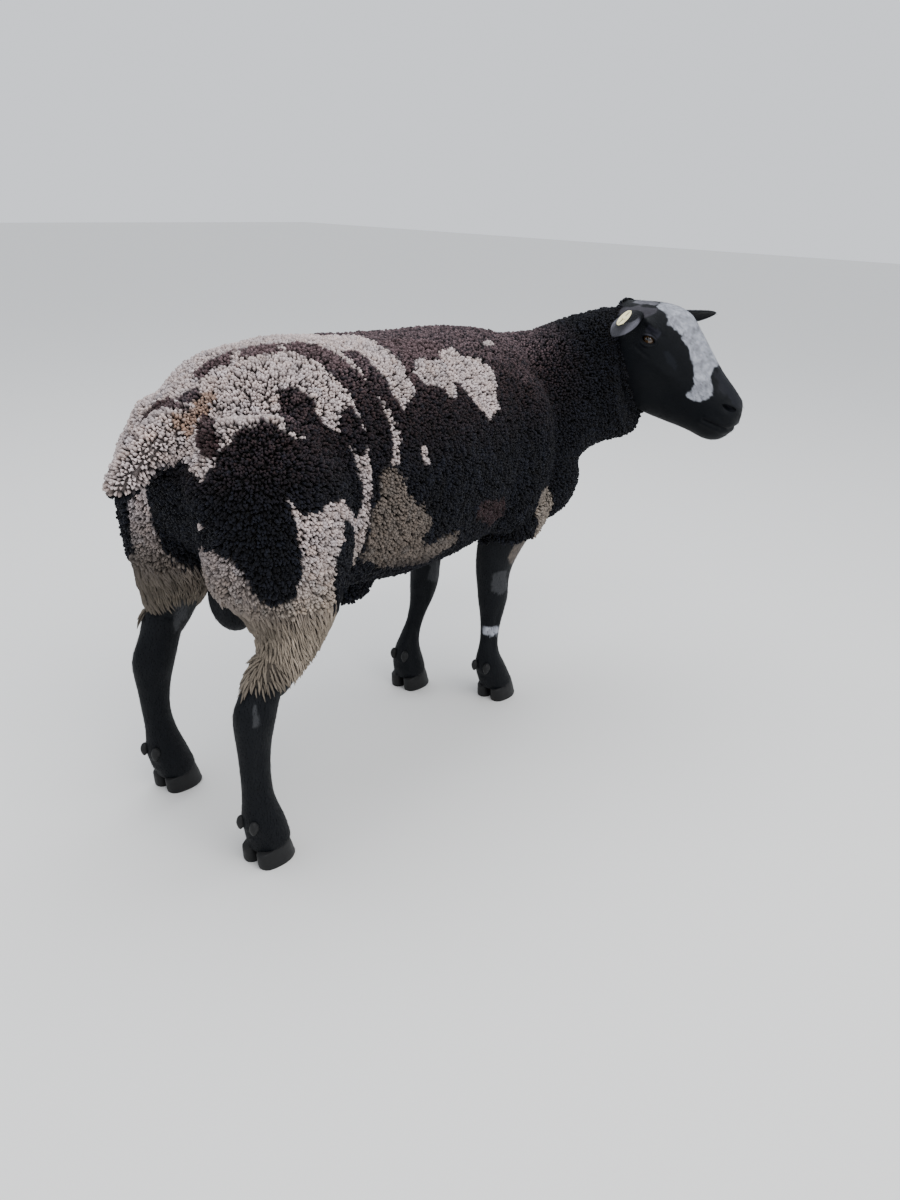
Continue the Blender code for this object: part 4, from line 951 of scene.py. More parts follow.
skin_spots = read_spots(skin.data)
skin_normals = read_normals(skin.data)
wool_share = woolly(skin_spots)
coat_spots = skin_spots + skin_normals * (STAPLE * wool_share)[:, None]
coat_form = BVHTree.FromPolygons(coat_spots.tolist(), [face.vertices[:] for face in skin.data.polygons])
for marks, frame_of_marks in ((MARKS, Matrix()), (LEG_MARKS, Matrix()), (FACE_MARKS, HEAD_FRAME)):
    for index, (name, colour, soft, outline) in enumerate(marks):
        marks[index] = (name, colour, soft, carried(outline, frame_of_marks))


class Shade:
    """A value in a finish. Sums and products of such values add the nodes for them."""

    def __init__(self, finish, socket):
        self.finish = finish
        self.socket = socket

    def worked(self, operation, first, second):
        return self.finish.node("ShaderNodeMath", {"operation": operation}, {0: first, 1: second})

    def __add__(self, other):
        return self.worked("ADD", self, other)

    def __radd__(self, other):
        return self.worked("ADD", other, self)

    def __sub__(self, other):
        return self.worked("SUBTRACT", self, other)

    def __rsub__(self, other):
        return self.worked("SUBTRACT", other, self)

    def __mul__(self, other):
        return self.worked("MULTIPLY", self, other)

    def __rmul__(self, other):
        return self.worked("MULTIPLY", other, self)


class Finish:
    """A material with one surface shader."""

    def __init__(self, name, **constants):
        self.material = bpy.data.materials.new(name)
        self.material.use_nodes = True
        self.nodes = self.material.node_tree.nodes
        self.surface = self.nodes["Principled BSDF"]
        for key, value in constants.items():
            self.surface.inputs[key.replace("_", " ")].default_value = value

    def node(self, kind, settings=None, sockets=None, out=0):
        made = self.nodes.new(kind)
        for key, value in (settings or {}).items():
            if key == "stops":
                while len(made.color_ramp.elements) < len(value):
                    made.color_ramp.elements.new(0.5)
                for stop, (place, colour) in zip(made.color_ramp.elements, value):
                    stop.position = place
                    stop.color = (*colour, 1.0)
            else:
                setattr(made, key, value)
        for key, value in (sockets or {}).items():
            self.set(made.inputs[key], value)
        return Shade(self, made.outputs[out])

    def set(self, socket, value):
        if isinstance(value, Shade):
            self.material.node_tree.links.new(value.socket, socket)
        else:
            socket.default_value = value

    def feeds(self, key, value):
        self.set(self.surface.inputs[key], value)

    def mixed(self, share, first, second):
        kind = {"data_type": "RGBA"}
        return self.node("ShaderNodeMix", kind, {0: share, 6: first, 7: second}, out=2)

    def place(self):
        return self.node("ShaderNodeTexCoord", out="Object")


def colour_map(piece, name, colours):
    layer = piece.data.color_attributes.new(name, "FLOAT_COLOR", "POINT")
    values = np.column_stack((colours, np.ones(len(colours)))).astype(np.float32)
    layer.data.foreach_set("color", values.ravel())


def done(piece, slot, finish, *nodes):
    """Moves a finished piece to its place over the floor, and gives it its finish and body; the slot is not
    used.
    """
    piece.data.transform(Matrix.Translation(-MIDDLE))
    piece.data.materials.clear()
    piece.data.materials.append(finish.material)
    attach(piece, "root")
    if nodes:
        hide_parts(*nodes)


hide = Finish("hide_and_short_hair", Roughness=0.62, Specular_IOR_Level=0.16)
place = hide.place()
fine = {"Vector": place, "Scale": 420.0, "Detail": 3.0, "Roughness": 0.6}
strands = hide.node("ShaderNodeTexNoise", None, fine)
patches = hide.node("ShaderNodeTexNoise", None, {"Vector": place, "Scale": 38.0, "Detail": 3.0})
colour = hide.node("ShaderNodeAttribute", {"attribute_name": "markings"})
ticked = hide.mixed(strands * 0.45 + patches * 0.25, colour, (0.0, 0.0, 0.0, 1.0))
hide.feeds("Base Color", ticked)
hide.feeds("Roughness", 0.50 + 0.25 * patches)
raised = hide.node("ShaderNodeBump", None, {"Strength": 0.35, "Distance": 0.0008, "Height": strands})
hide.feeds("Normal", raised)

# The skin under the fleece is painted dark, at three tenths of the wool's colour, as the shade deep in the
# wool.
shaded_under_wool = wool_colours(skin_spots, skin_normals) * 0.30 + np.array((0.006, 0.004, 0.003))
hair_share = hair_colours(skin_spots, skin_normals)
colour_map(skin, "markings", hair_share + (shaded_under_wool - hair_share) * wool_share[:, None])


# The fleece: a ram's short, tight wool, about 25 mm of it, in rounded curls that close over each other.
# Three tufts are modelled, each drawn out of a disc and bent over, and set close all over the woolly hide,
# drawn together into curls in upright rows along the flank, with clefts left between them, painted dark as
# shade.
def curl_model(name, radius, steps, sides=5):
    """A lock drawn out of a disc, one stretch at a time: move, swell and tilt."""
    bpy.ops.object.select_all(action="DESELECT")
    bpy.ops.mesh.primitive_circle_add(vertices=sides, radius=radius, fill_type="NGON")
    lock = bpy.context.object
    lock.name = name
    bpy.ops.object.mode_set(mode="EDIT")
    bpy.ops.mesh.select_mode(type="FACE")
    bpy.ops.mesh.select_all(action="SELECT")
    centre = Vector((0, 0, 0))
    for move, swell, tilt in steps:
        bpy.ops.mesh.extrude_region_move(TRANSFORM_OT_translate={"value": move})
        centre += Vector(move)
        bpy.ops.transform.resize(value=(swell, swell, swell), center_override=centre)
        bpy.ops.transform.rotate(value=-math.radians(tilt), orient_axis="Y", center_override=centre)
    bpy.ops.mesh.select_all(action="SELECT")
    bpy.ops.mesh.quads_convert_to_tris()
    bpy.ops.mesh.normals_make_consistent(inside=False)
    bpy.ops.object.mode_set(mode="OBJECT")
    spots = read_spots(lock.data)
    faces = np.array([tuple(face.vertices) for face in lock.data.polygons if len(face.vertices) == 3])
    reach = np.repeat(np.arange(len(steps) + 1), sides) / len(steps)
    bpy.data.objects.remove(lock)
    return spots, faces, reach


class Hide:
    """The triangles of the skin, from which roots are drawn."""

    def __init__(self, mesh):
        mesh.calc_loop_triangles()
        count = len(mesh.loop_triangles)
        corners = np.empty(count * 3, dtype=np.int64)
        mesh.loop_triangles.foreach_get("vertices", corners)
        loops = np.empty(count * 3, dtype=np.int64)
        mesh.loop_triangles.foreach_get("loops", loops)
        flat = np.empty(len(mesh.loops) * 2)
        mesh.uv_layers["OFBake"].data.foreach_get("uv", flat)
        self.spots = read_spots(mesh)[corners.reshape(-1, 3)]
        self.normals = read_normals(mesh)[corners.reshape(-1, 3)]
        self.flat = flat.reshape(-1, 2)[loops.reshape(-1, 3)]
        sides = self.spots[:, 1:] - self.spots[:, :1]
        self.area = np.linalg.norm(np.cross(sides[:, 0], sides[:, 1]), axis=1) / 2

    def roots(self, spacing, wanted, chance):
        """Roots this far apart where they are wanted: place, normal and place on the map."""
        middle = self.spots.mean(axis=1)
        weight = self.area * (wanted(middle) > 0.02) / spacing(middle) ** 2
        drawn = int(weight.sum() * 5.0)
        picked = chance.choice(len(weight), size=drawn, p=weight / weight.sum())
        first = np.sqrt(chance.random(drawn))
        second = chance.random(drawn)
        share = np.column_stack((1 - first, first * (1 - second), first * second))[:, :, None]
        places = (self.spots[picked] * share).sum(axis=1)
        normals = (self.normals[picked] * share).sum(axis=1)
        normals /= np.linalg.norm(normals, axis=1)[:, None]
        flat = (self.flat[picked] * share).sum(axis=1)
        kept = wanted(places) > chance.random(drawn)
        places, normals, flat = places[kept], normals[kept], flat[kept]
        apart = spacing(places)
        tree = kdtree.KDTree(len(places))
        for index, place in enumerate(places):
            tree.insert(place, index)
        tree.balance()
        free = np.ones(len(places), dtype=bool)
        chosen = []
        for index in range(len(places)):
            if free[index]:
                chosen.append(index)
                for place, other, distance in tree.find_range(places[index], apart[index]):
                    free[other] = False
        return places[chosen], normals[chosen], flat[chosen]


def lying(normals, way):
    """The lie of the coat along the hide, and the direction across it."""
    lie = way - normals * (way * normals).sum(axis=1)[:, None]
    lie /= np.maximum(np.linalg.norm(lie, axis=1), 1e-6)[:, None]
    return lie, np.cross(normals, lie)


def planted(name, models, places, flat, frames, sizes, kinds):
    """One mesh of many tufts, each a copy of a model set at its root. Frames are lie, across and outward."""
    spots, faces, reaches, owners, maps = [], [], [], [], []
    start = 0
    for kind, (shape, triangles, reach) in enumerate(models):
        own = np.flatnonzero(kinds == kind)
        if not len(own):
            continue
        scaled = shape[None] * sizes[own][:, None, :]
        moved = np.einsum("nvk,nkd->nvd", scaled, frames[own]) + places[own][:, None, :]
        spots.append(moved.reshape(-1, 3))
        offset = start + np.arange(len(own))[:, None, None] * len(shape)
        faces.append((triangles[None] + offset).reshape(-1, 3))
        reaches.append(np.tile(reach, len(own)))
        owners.append(np.repeat(own, len(shape)))
        wide = np.abs(shape[:, 1]).max()
        patch = np.column_stack((shape[:, 1] / wide * 0.5, reach - 0.5)) * 0.003
        maps.append((flat[own][:, None] + patch[None]).reshape(-1, 2))
        start += len(own) * len(shape)
    spots, faces = np.concatenate(spots), np.concatenate(faces)
    mesh = bpy.data.meshes.new(name)
    mesh.vertices.add(len(spots))
    mesh.vertices.foreach_set("co", spots.ravel())
    mesh.loops.add(faces.size)
    mesh.loops.foreach_set("vertex_index", faces.ravel().astype(np.int32))
    mesh.polygons.add(len(faces))
    mesh.polygons.foreach_set("loop_start", np.arange(0, faces.size, 3, dtype=np.int32))
    mesh.update(calc_edges=True)
    mesh.shade_smooth()
    layer = mesh.uv_layers.new(name="OFBake")
    layer.data.foreach_set("uv", np.concatenate(maps)[faces.ravel()].ravel())
    piece = bpy.data.objects.new(name, mesh)
    bpy.context.scene.collection.objects.link(piece)
    return piece, np.concatenate(reaches), np.concatenate(owners)


hide_map = Hide(skin.data)
chance = np.random.default_rng(11)
TUFTS = [
    curl_model("tuft", 0.150, [((0.00, 0.01, 0.62), 1.75, 6), ((0.05, 0.01, 0.36), 0.84, 6)], 3),
    curl_model("tuft", 0.155, [((0.03, -0.03, 0.58), 1.70, 8), ((0.06, -0.02, 0.38), 0.86, 8)], 3),
    curl_model("tuft", 0.145, [((-0.02, 0.03, 0.64), 1.85, 5), ((0.04, 0.03, 0.36), 0.80, 5)], 3),
]
TUFT_SPACING = 0.0036
# Tufts draw together into curls this wide, with a cleft round each.
CURL_WIDTH = 0.0100
ROW_STRETCH = 0.40


def tuft_spacing(points):
    return np.full(len(points), TUFT_SPACING)


def curled(points):
    """Where curls stand: the woolly hide, but for the hairy lower thighs."""
    x, y, z = points.T
    hairy = (x < -0.15) * eased(0.50 + wobble(points, 0.04, 41) * 0.03 - z, 0.0, 0.06)
    return woolly(points) * (1 - hairy)


def gathered(points, normals):
    """The vector from each root to the middle of its curl, and how far it stands from the cleft round it."""
    flank = eased(points[:, 0], -0.14, -0.06) * eased(0.47 - points[:, 0], 0.0, 0.08)
    waved = points.copy()
    waved[:, 0] += wobble(points, 0.045, 51) * 0.007
    waved[:, 2] *= 1 - (1 - ROW_STRETCH) * flank
    tree = kdtree.KDTree(len(points))
    for index, spot in enumerate(waved):
        tree.insert(spot, index)
    tree.balance()
    free = np.ones(len(points), dtype=bool)
    middles = []
    for index in chance.permutation(len(points)):
        if free[index]:
            middles.append(index)
            for spot, other, distance in tree.find_range(waved[index], CURL_WIDTH):
                free[other] = False
    tree = kdtree.KDTree(len(middles))
    for order, index in enumerate(middles):
        tree.insert(waved[index], order)
    tree.balance()
    toward = np.zeros((len(points), 3))
    clear = np.zeros(len(points))
    curl = np.zeros(len(points), dtype=int)
    for index, spot in enumerate(waved):
        near = tree.find_n(spot, 2)
        toward[index] = points[middles[near[0][1]]] - points[index]
        clear[index] = near[1][2] - near[0][2]
        curl[index] = near[0][1]
    return toward, clear, curl, len(middles)


places, normals, flat = hide_map.roots(tuft_spacing, curled, chance)
count = len(places)
x, y, z = places.T
toward, clear, curl, curls = gathered(places, normals)
toward -= normals * (toward * normals).sum(axis=1)[:, None]
length = np.linalg.norm(toward, axis=1)
toward *= np.minimum(1.0, 0.007 / np.maximum(length, 1e-6))[:, None]
lie, across = lying(normals, np.tile((-0.45, 0.0, -1.0), (count, 1)))
swing = chance.uniform(-math.pi, math.pi, count)
curl_swing = chance.normal(0.0, 1.2, curls)[curl]
leaning = lie * np.cos(curl_swing)[:, None] + across * np.sin(curl_swing)[:, None]
outward = normals + toward / STAPLE * 0.18 + leaning * 0.12 + lie * 0.10
outward += chance.normal(0.0, 0.045, (count, 3))
lie, across = (
    lie * np.cos(swing)[:, None] + across * np.sin(swing)[:, None],
    across * np.cos(swing)[:, None] - lie * np.sin(swing)[:, None],
)
frames = np.stack((lie, across, outward), axis=1)
inside = eased(clear, 0.0003, 0.0060)
size = 0.0112 * chance.uniform(0.85, 1.25, count)
tall = STAPLE * (0.86 + 0.14 * inside) * (1 + 0.05 * wobble(places, 0.03, 53))
tall *= chance.uniform(0.95, 1.06, count)
tall *= chance.uniform(0.94, 1.06, curls)[curl]
# Towards the short hair behind the ears the wool grows shorter.
tall *= 0.32 + 0.68 * eased(wool_edge(places) - before_poll(places), 0.0, 0.050)
sizes = np.column_stack((size, size, tall))
kinds = chance.integers(0, len(TUFTS), count)
colours = wool_colours(places, normals)
light = colours.mean(axis=1) > 0.06
tone = chance.uniform(0.78, 1.10, count) * np.where(light, chance.uniform(0.82, 1.10, curls)[curl], 1.0)
tone = np.where(light, tone, chance.uniform(0.6, 1.4, count) * chance.uniform(0.65, 1.35, curls)[curl])
warm = chance.normal(0.0, 0.018, curls)[curl]
colours = colours * tone[:, None] * (1 + np.outer(warm, (1.0, 0.0, -1.0)))
# Tufts near the cleft round each curl are painted darker, as the shade in the cleft.
colours *= (0.40 + 0.60 * eased(clear, 0.0, 0.0016))[:, None]
# Sun-browned tips on the black wool of the back, the crest and the top of the haunch, with a painted sheen of
# the sky on them, lighter and pinker where the wool faces up.
browned_and_sheened = eased(z, 0.56, 0.80) * eased(normals[:, 2], -0.3, 0.6) * chance.uniform(0.1, 1.0, count) * ~light
browned_and_sheened *= eased(np.hypot(x - 0.62, y + 0.18), 0.10, 0.24)
sky_sheen_on_top = eased(normals[:, 2], 0.50, 0.95)[:, None]
brown = np.array((0.085, 0.048, 0.047)) * (1 - sky_sheen_on_top) + np.array((0.260, 0.178, 0.190)) * sky_sheen_on_top
fleece = Finish("fleece", Roughness=0.80, Specular_IOR_Level=0.12, Sheen_Weight=0.04, Sheen_Roughness=0.45)
place = fleece.place()
fine = {"Vector": place, "Scale": 520.0, "Detail": 3.0, "Roughness": 0.65}
crimp = fleece.node("ShaderNodeTexNoise", None, fine)
colour = fleece.node("ShaderNodeAttribute", {"attribute_name": "wool"})
fleece.feeds("Base Color", fleece.mixed(crimp * 0.5, colour, (0.004, 0.003, 0.003, 1.0)))
fleece.feeds("Roughness", 0.70 + 0.25 * crimp)
raised = {"Strength": 0.5, "Distance": 0.0012, "Height": crimp}
fleece.feeds("Normal", fleece.node("ShaderNodeBump", None, raised))

FLEECE_PARTS = [
    ("fleece_neck", "dark_wool", lambda x, y, z: (x > 0.40) & ((z > 0.62) | (y < -0.12))),
    ("fleece_brisket", "dark_wool", lambda x, y, z: (x > 0.22) & (z < 0.56)),
    ("fleece_shoulder_right", "dark_wool", lambda x, y, z: (x > 0.13) & (y < 0.0)),
    ("fleece_shoulder_left", "dark_wool", lambda x, y, z: x > 0.13),
    ("fleece_flank_right", "dark_wool", lambda x, y, z: (x > -0.14) & (y < 0.0)),
    ("fleece_flank_left", "dark_wool", lambda x, y, z: x > -0.14),
    ("fleece_haunch_right", "pale_wool", lambda x, y, z: (y < 0.0) & (z > 0.30)),
    ("fleece_haunch_left", "pale_wool", lambda x, y, z: z > 0.0),
]
left = np.ones(count, dtype=bool)
for name, slot, holds in FLEECE_PARTS:
    own = left & holds(x, y, z)
    left &= ~own
    piece, reach, owners = planted(name, TUFTS, places[own], flat[own], frames[own], sizes[own], kinds[own])
    roots = colours[own][owners]
    # Each tuft is painted darker towards its root, as the shade deep in the wool.
    depth = eased(reach, 0.15, 0.75)[:, None]
    root_shaded_colours = roots * (0.35 + 0.70 * depth)
    # The tips take the real brown and the painted sky sheen together.
    tips = (eased(reach, 0.45, 1.0) * browned_and_sheened[own][owners])[:, None]
    colour_map(piece, "wool", root_shaded_colours + (brown[own][owners] - root_shaded_colours) * tips * 0.85)
    done(piece, slot, fleece)


# The hair of the lower thighs: longer, straighter, yellowish locks that lie down and forward over
# the black hair of the hocks and end ragged. Two locks are modelled, each in two bends, and set close
# together.
LOCKS = [
    curl_model("lock", 0.10, [((0.20, 0.00, 0.11), 1.30, 64), ((0.38, 0.03, 0.01), 0.85, 16),
                              ((0.42, -0.04, -0.04), 0.25, 6)], 3),
    curl_model("lock", 0.10, [((0.20, 0.02, 0.12), 1.25, 62), ((0.36, -0.04, 0.02), 0.90, 18),
                              ((0.40, 0.06, -0.03), 0.22, 5)], 3),
]


def hairy(points):
    x, y, z = points.T
    return woolly(points) * (x < -0.15) * eased(0.54 + wobble(points, 0.04, 41) * 0.03 - z, 0.0, 0.05)


places, normals, flat = hide_map.roots(lambda points: np.full(len(points), 0.0044), hairy, chance)
count = len(places)
swirl = np.column_stack([wobble(places, 0.05, seed) for seed in (61, 62, 63)]) * 0.35
lie, across = lying(normals, np.array((0.30, 0.0, -1.0)) + swirl + chance.normal(0, 0.10, (count, 3)))
frames = np.stack((lie, across, normals), axis=1)
size = chance.uniform(0.026, 0.042, count) * (0.60 + 0.40 * eased(places[:, 2], 0.33, 0.43))
sizes = np.column_stack((size, chance.uniform(0.010, 0.018, count), size * chance.uniform(0.5, 1.1, count)))
piece, reach, owners = planted("thigh_hair", LOCKS, places, flat, frames, sizes, chance.integers(0, 2, count))
colours = wool_colours(places, normals) * chance.uniform(0.72, 1.12, count)[:, None]
colours *= (1 + 0.30 * wobble(places, 0.014, 83))[:, None]
# Each lock is painted darker towards its root, as the shade deep in the hair.
depth = eased(reach, 0.0, 0.6)[:, None]
colour_map(piece, "wool", colours[owners] * (0.66 + 0.40 * depth))
done(piece, "pale_wool", fleece)


# Short hair of the head, the ears and the legs: flat, glossy and a few millimetres long.
# It lies down the face, out along the ears and down the legs; each tuft is a thin three-sided blade.
BLADES = [
    curl_model("blade", 0.075, [((0.95, 0.0, 0.12), 0.20, 82)], 3),
    curl_model("blade", 0.075, [((0.92, 0.06, 0.17), 0.20, 80)], 3),
]
# Hair keeps clear of the eyes, the nostrils, the lips and the edge of the claws.
BARE = [(on_head((EYE_PLACE[0], 0.070, EYE_PLACE[2]), side), 0.021) for side in (1, -1)]
BARE += [(on_head((NOSTRIL_PLACE[0], 0.033, NOSTRIL_PLACE[2]), side), 0.013) for side in (1, -1)]
BARE.append((on_head((0.316, 0.0, -0.050), 1), 0.014))


def haired(points):
    share = (1 - woolly(points)) * (points[:, 2] > 0.034)
    for place, radius in BARE:
        share *= np.linalg.norm(points - np.array(place), axis=1) > radius
    return share


def hair_spacing(points):
    head = before_poll(points) > HEAD_PLANE - 0.01
    return np.where(head, 0.0034, 0.0044)


places, normals, flat = hide_map.roots(hair_spacing, haired, chance)
count = len(places)
on_face = before_poll(places) > HEAD_PLANE - 0.01
face_way = np.array(HEAD_AXES @ Vector((1, 0, 0)))
sideways = ((places - np.array(POLL)) @ np.array(HEAD_AXES)[:, 1])[:, None] * np.array(HEAD_AXES)[:, 1] * 4.0
way = np.where(on_face[:, None], face_way + sideways, np.array((0.0, 0.0, -1.0)))
for side in (1, -1):
    root, tip, along, width, back = ear_lines(side)
    away = places - np.array(root)
    share = away @ np.array(along) / (tip - root).length
    on_ear = (share > 0.30) & (np.abs(away @ np.array(width)) < 0.05) & (np.abs(away @ np.array(back)) < 0.05)
    way[on_ear] = np.array(along)
lie, across = lying(normals, way + chance.normal(0, 0.16, (count, 3)))
frames = np.stack((lie, across, normals), axis=1)
size = np.where(on_face, 0.0058, 0.0075) * chance.uniform(0.75, 1.25, count)
lift = size * np.where(on_face, 0.7, 0.8) * chance.uniform(0.6, 1.5, count)
sizes = np.column_stack((size, size * 1.1, lift))
kinds = chance.integers(0, 2, count)
colours = hair_colours(places, normals)
# White places are salted with dark hairs, and the black with a few grey ones.
bright = colours.mean(axis=1) > 0.05
draw = chance.random(count)
colours[bright & (draw < 0.30)] = (0.060, 0.062, 0.075)
colours *= chance.uniform(0.65, 1.35, count)[:, None]
sleek = Finish("short_hair", Roughness=0.50, Specular_IOR_Level=0.16)
colour = sleek.node("ShaderNodeAttribute", {"attribute_name": "wool"})
grain = sleek.node("ShaderNodeTexNoise", None, {"Vector": sleek.place(), "Scale": 300.0, "Detail": 2.0})
sleek.feeds("Base Color", sleek.mixed(grain * 0.4, colour, (0.0, 0.0, 0.0, 1.0)))
sleek.feeds("Roughness", 0.40 + 0.20 * grain)
for name, own in (("short_hair_head", on_face), ("short_hair_legs", ~on_face)):
    piece, reach, owners = planted(name, BLADES, places[own], flat[own], frames[own], sizes[own], kinds[own])
    # Each blade is painted darker at its root, as the shade in the hair.
    colour_map(piece, "wool", colours[own][owners] * (0.75 + 0.35 * reach[:, None]))
    done(piece, "dark_hair", sleek)

FLESH = (
    "torso", "neck", "tail", "thigh_right", "thigh_left", "head", "ear_right", "ear_left", "foreleg_right",
    "foreleg_left", "shank_right", "shank_left", "scrotum", "sheath",
)
done(skin, "dark_hair", hide, *FLESH)


# The eyes: wet, amber, with the long level pupil of a sheep and a clear cornea that stands out a little.
# Each is a ball set in its socket under the lids, and its front is drawn forward as the cornea.
for side, word in ((1, "left"), (-1, "right")):
    centre = on_head(EYE_PLACE, side)
    turn = eye_turn(side)
    facing = Matrix.Rotation(math.radians(90), 3, "X")
    eye = ball(f"eye_ball_{word}", (0, 0, 0), (EYE_RADIUS,) * 3, 48, 32, facing)
    for vertex in eye.data.vertices:
        reach = math.hypot(vertex.co.x, vertex.co.z)
        if vertex.co.y * side > 0 and reach < 0.0105:
            vertex.co.y += side * 0.0009 * (1 - (reach / 0.0105) ** 2)
    eye.data.transform(Matrix.Translation(centre) @ turn.to_4x4())
    bpy.ops.object.shade_smooth()
    wet = Finish(f"eye_{word}", Roughness=0.08, Coat_Weight=1.0, Coat_Roughness=0.02, IOR=1.38)
    spin = turn.to_euler()
    shift = {"Vector": wet.place(), "Location": centre - MIDDLE, "Rotation": spin}
    local = wet.node("ShaderNodeMapping", {"vector_type": "TEXTURE"}, shift)
    split = wet.node("ShaderNodeSeparateXYZ", None, {"Vector": local})
    level = Shade(wet, split.socket.node.outputs["X"])
    upright = Shade(wet, split.socket.node.outputs["Z"])
    across = wet.node("ShaderNodeMath", {"operation": "ABSOLUTE"}, {0: level})
    height = wet.node("ShaderNodeMath", {"operation": "ABSOLUTE"}, {0: upright})
    out = wet.node("ShaderNodeMath", {"operation": "SQRT"}, {0: level * level + upright * upright})
    slot_x = wet.node("ShaderNodeMapRange", None, {"Value": across, 1: 0.0050, 2: 0.0066, 3: 1.0, 4: 0.0})
    slot_z = wet.node("ShaderNodeMapRange", None, {"Value": height, 1: 0.0019, 2: 0.0028, 3: 1.0, 4: 0.0})
    rim = wet.node("ShaderNodeMapRange", None, {"Value": out, 1: 0.0098, 2: 0.0112, 3: 0.0, 4: 1.0})
    rays = wet.node("ShaderNodeTexNoise", None, {"Vector": local, "Scale": 700.0, "Detail": 2.0})
    stops = [(0.0, (0.022, 0.011, 0.005)), (0.55, (0.050, 0.026, 0.010)), (1.0, (0.120, 0.070, 0.028))]
    iris = wet.node("ShaderNodeValToRGB", {"stops": stops}, {"Fac": rays})
    rimmed = wet.mixed(rim, iris, (0.020, 0.011, 0.008, 1.0))
    wet.feeds("Base Color", wet.mixed(slot_x * slot_z, rimmed, (0.004, 0.005, 0.008, 1.0)))
    done(eye, "eye", wet, f"eye_{word}")


# The ear tag: a plain strip of cream-yellow plastic, worn and slightly bowed, with a moulded stud
# pushed through the ear and a round button behind it. It is a rounded plate with its edge rolled over.
TAG_SIZES = (0.042, 0.0145, 0.0018)
TAG_HEIGHT = 0.0115
root, tip, along, width, back = ear_lines(-1)
share, half, angle, thick = EAR[4]
radius = half / math.sin(math.radians(angle))
top = root + (tip - root) * share + back * 0.008 * math.sin(math.pi * share)
top += back * (radius - radius * math.cos(math.radians(angle)))
strip = (along * -0.905 + width * 0.120 + back * 0.410).normalized()
aside = (along * 0.430 + width * 0.130 + back * 0.890).cross(strip).normalized()
lifted = Matrix((strip, aside, strip.cross(aside))).transposed().to_4x4()
turn = Matrix((along, back.cross(along), back)).transposed().to_4x4()
bpy.ops.object.select_all(action="DESELECT")
bpy.ops.mesh.primitive_cylinder_add(vertices=56, radius=0.5, depth=1.0)
plate = bpy.context.object
plate.data.transform(Matrix.Diagonal((*TAG_SIZES, 1.0)))
bpy.ops.object.mode_set(mode="EDIT")
bpy.ops.mesh.select_mode(type="FACE")
bpy.ops.mesh.select_all(action="DESELECT")
bpy.ops.object.mode_set(mode="OBJECT")
for face in plate.data.polygons:
    face.select = abs(face.normal.z) > 0.9
bpy.ops.object.mode_set(mode="EDIT")
bpy.ops.mesh.inset(thickness=0.0016, depth=-0.0004)
bpy.ops.mesh.inset(thickness=0.0030, depth=0.0)
bpy.ops.object.mode_set(mode="OBJECT")
shaped(plate, "BEVEL", width=0.0004, segments=2, limit_method="ANGLE")
plate.data.transform(Matrix.Translation(top + back * TAG_HEIGHT) @ lifted)
parts = [plate]
cap = strip.cross(aside) * 0.0012
for wide, low, high in ((0.0024, -0.0085, TAG_HEIGHT), (0.0042, 0.0, 0.0016), (0.0065, -0.0095, -0.0075)):
    bpy.ops.object.select_all(action="DESELECT")
    bpy.ops.mesh.primitive_cylinder_add(vertices=32, radius=wide, depth=high - low)
    part = bpy.context.object
    shaped(part, "BEVEL", width=0.0005, segments=3, limit_method="ANGLE")
    if wide == 0.0042:
        part.data.transform(Matrix.Translation(top + back * TAG_HEIGHT + cap) @ lifted)
    else:
        part.data.transform(Matrix.Translation(top + back * (low + high) / 2) @ turn)
    parts.append(part)
tag = join("tag_plate", parts)
only(tag)
bpy.ops.object.shade_smooth_by_angle(angle=math.radians(40))
plastic = Finish("tag_plastic", Roughness=0.38, Specular_IOR_Level=0.5)
cloud = plastic.node("ShaderNodeTexNoise", None, {"Vector": plastic.place(), "Scale": 160.0, "Detail": 4.0})
plastic.feeds("Base Color", plastic.mixed(cloud, (0.86, 0.80, 0.48, 1.0), (0.68, 0.60, 0.34, 1.0)))
plastic.feeds("Roughness", 0.30 + 0.25 * cloud)
done(tag, "tag", plastic, "ear_tag")


# The claws: two dark horn toes to a foot, with a flat worn sole, a wall that slopes up and back to the
# hair line, and faint growth rings. Each is a row of hoops eased along its height.
CLAW_OUTLINE = [
    (-0.034, 0.004),
    (-0.026, 0.014),
    (-0.004, 0.017),
    (0.018, 0.014),
    (0.034, 0.005),
    (0.041, -0.007),
    (0.030, -0.013),
    (0.002, -0.0145),
    (-0.022, -0.013),
    (-0.033, -0.006),
]
CLAW_LEVELS = [(0.0, 0.955, 0.0), (0.0016, 0.985, 0.0), (0.004, 1.0, 0.0), (0.25, 0.97, 0.002),
               (0.5, 0.935, 0.004), (0.75, 0.89, 0.0065), (1.0, 0.845, 0.009), (1.06, 0.78, 0.0095)]
horn = Finish("claw_horn", Roughness=0.45, Specular_IOR_Level=0.22)
place = horn.place()
stretched = horn.node("ShaderNodeVectorMath", {"operation": "MULTIPLY"}, {0: place, 1: (18.0, 18.0, 420.0)})
rings = horn.node("ShaderNodeTexNoise", None, {"Vector": stretched, "Scale": 1.0, "Detail": 2.0})
grime = horn.node("ShaderNodeTexNoise", None, {"Vector": place, "Scale": 90.0, "Detail": 4.0})
base = horn.mixed(rings, (0.003, 0.004, 0.005, 1.0), (0.009, 0.009, 0.010, 1.0))
horn.feeds("Base Color", horn.mixed(grime * 0.20, base, (0.024, 0.021, 0.018, 1.0)))
horn.feeds("Roughness", 0.35 + 0.35 * grime)
raised = {"Strength": 0.35, "Distance": 0.0008, "Height": rings}
horn.feeds("Normal", horn.node("ShaderNodeBump", None, raised))
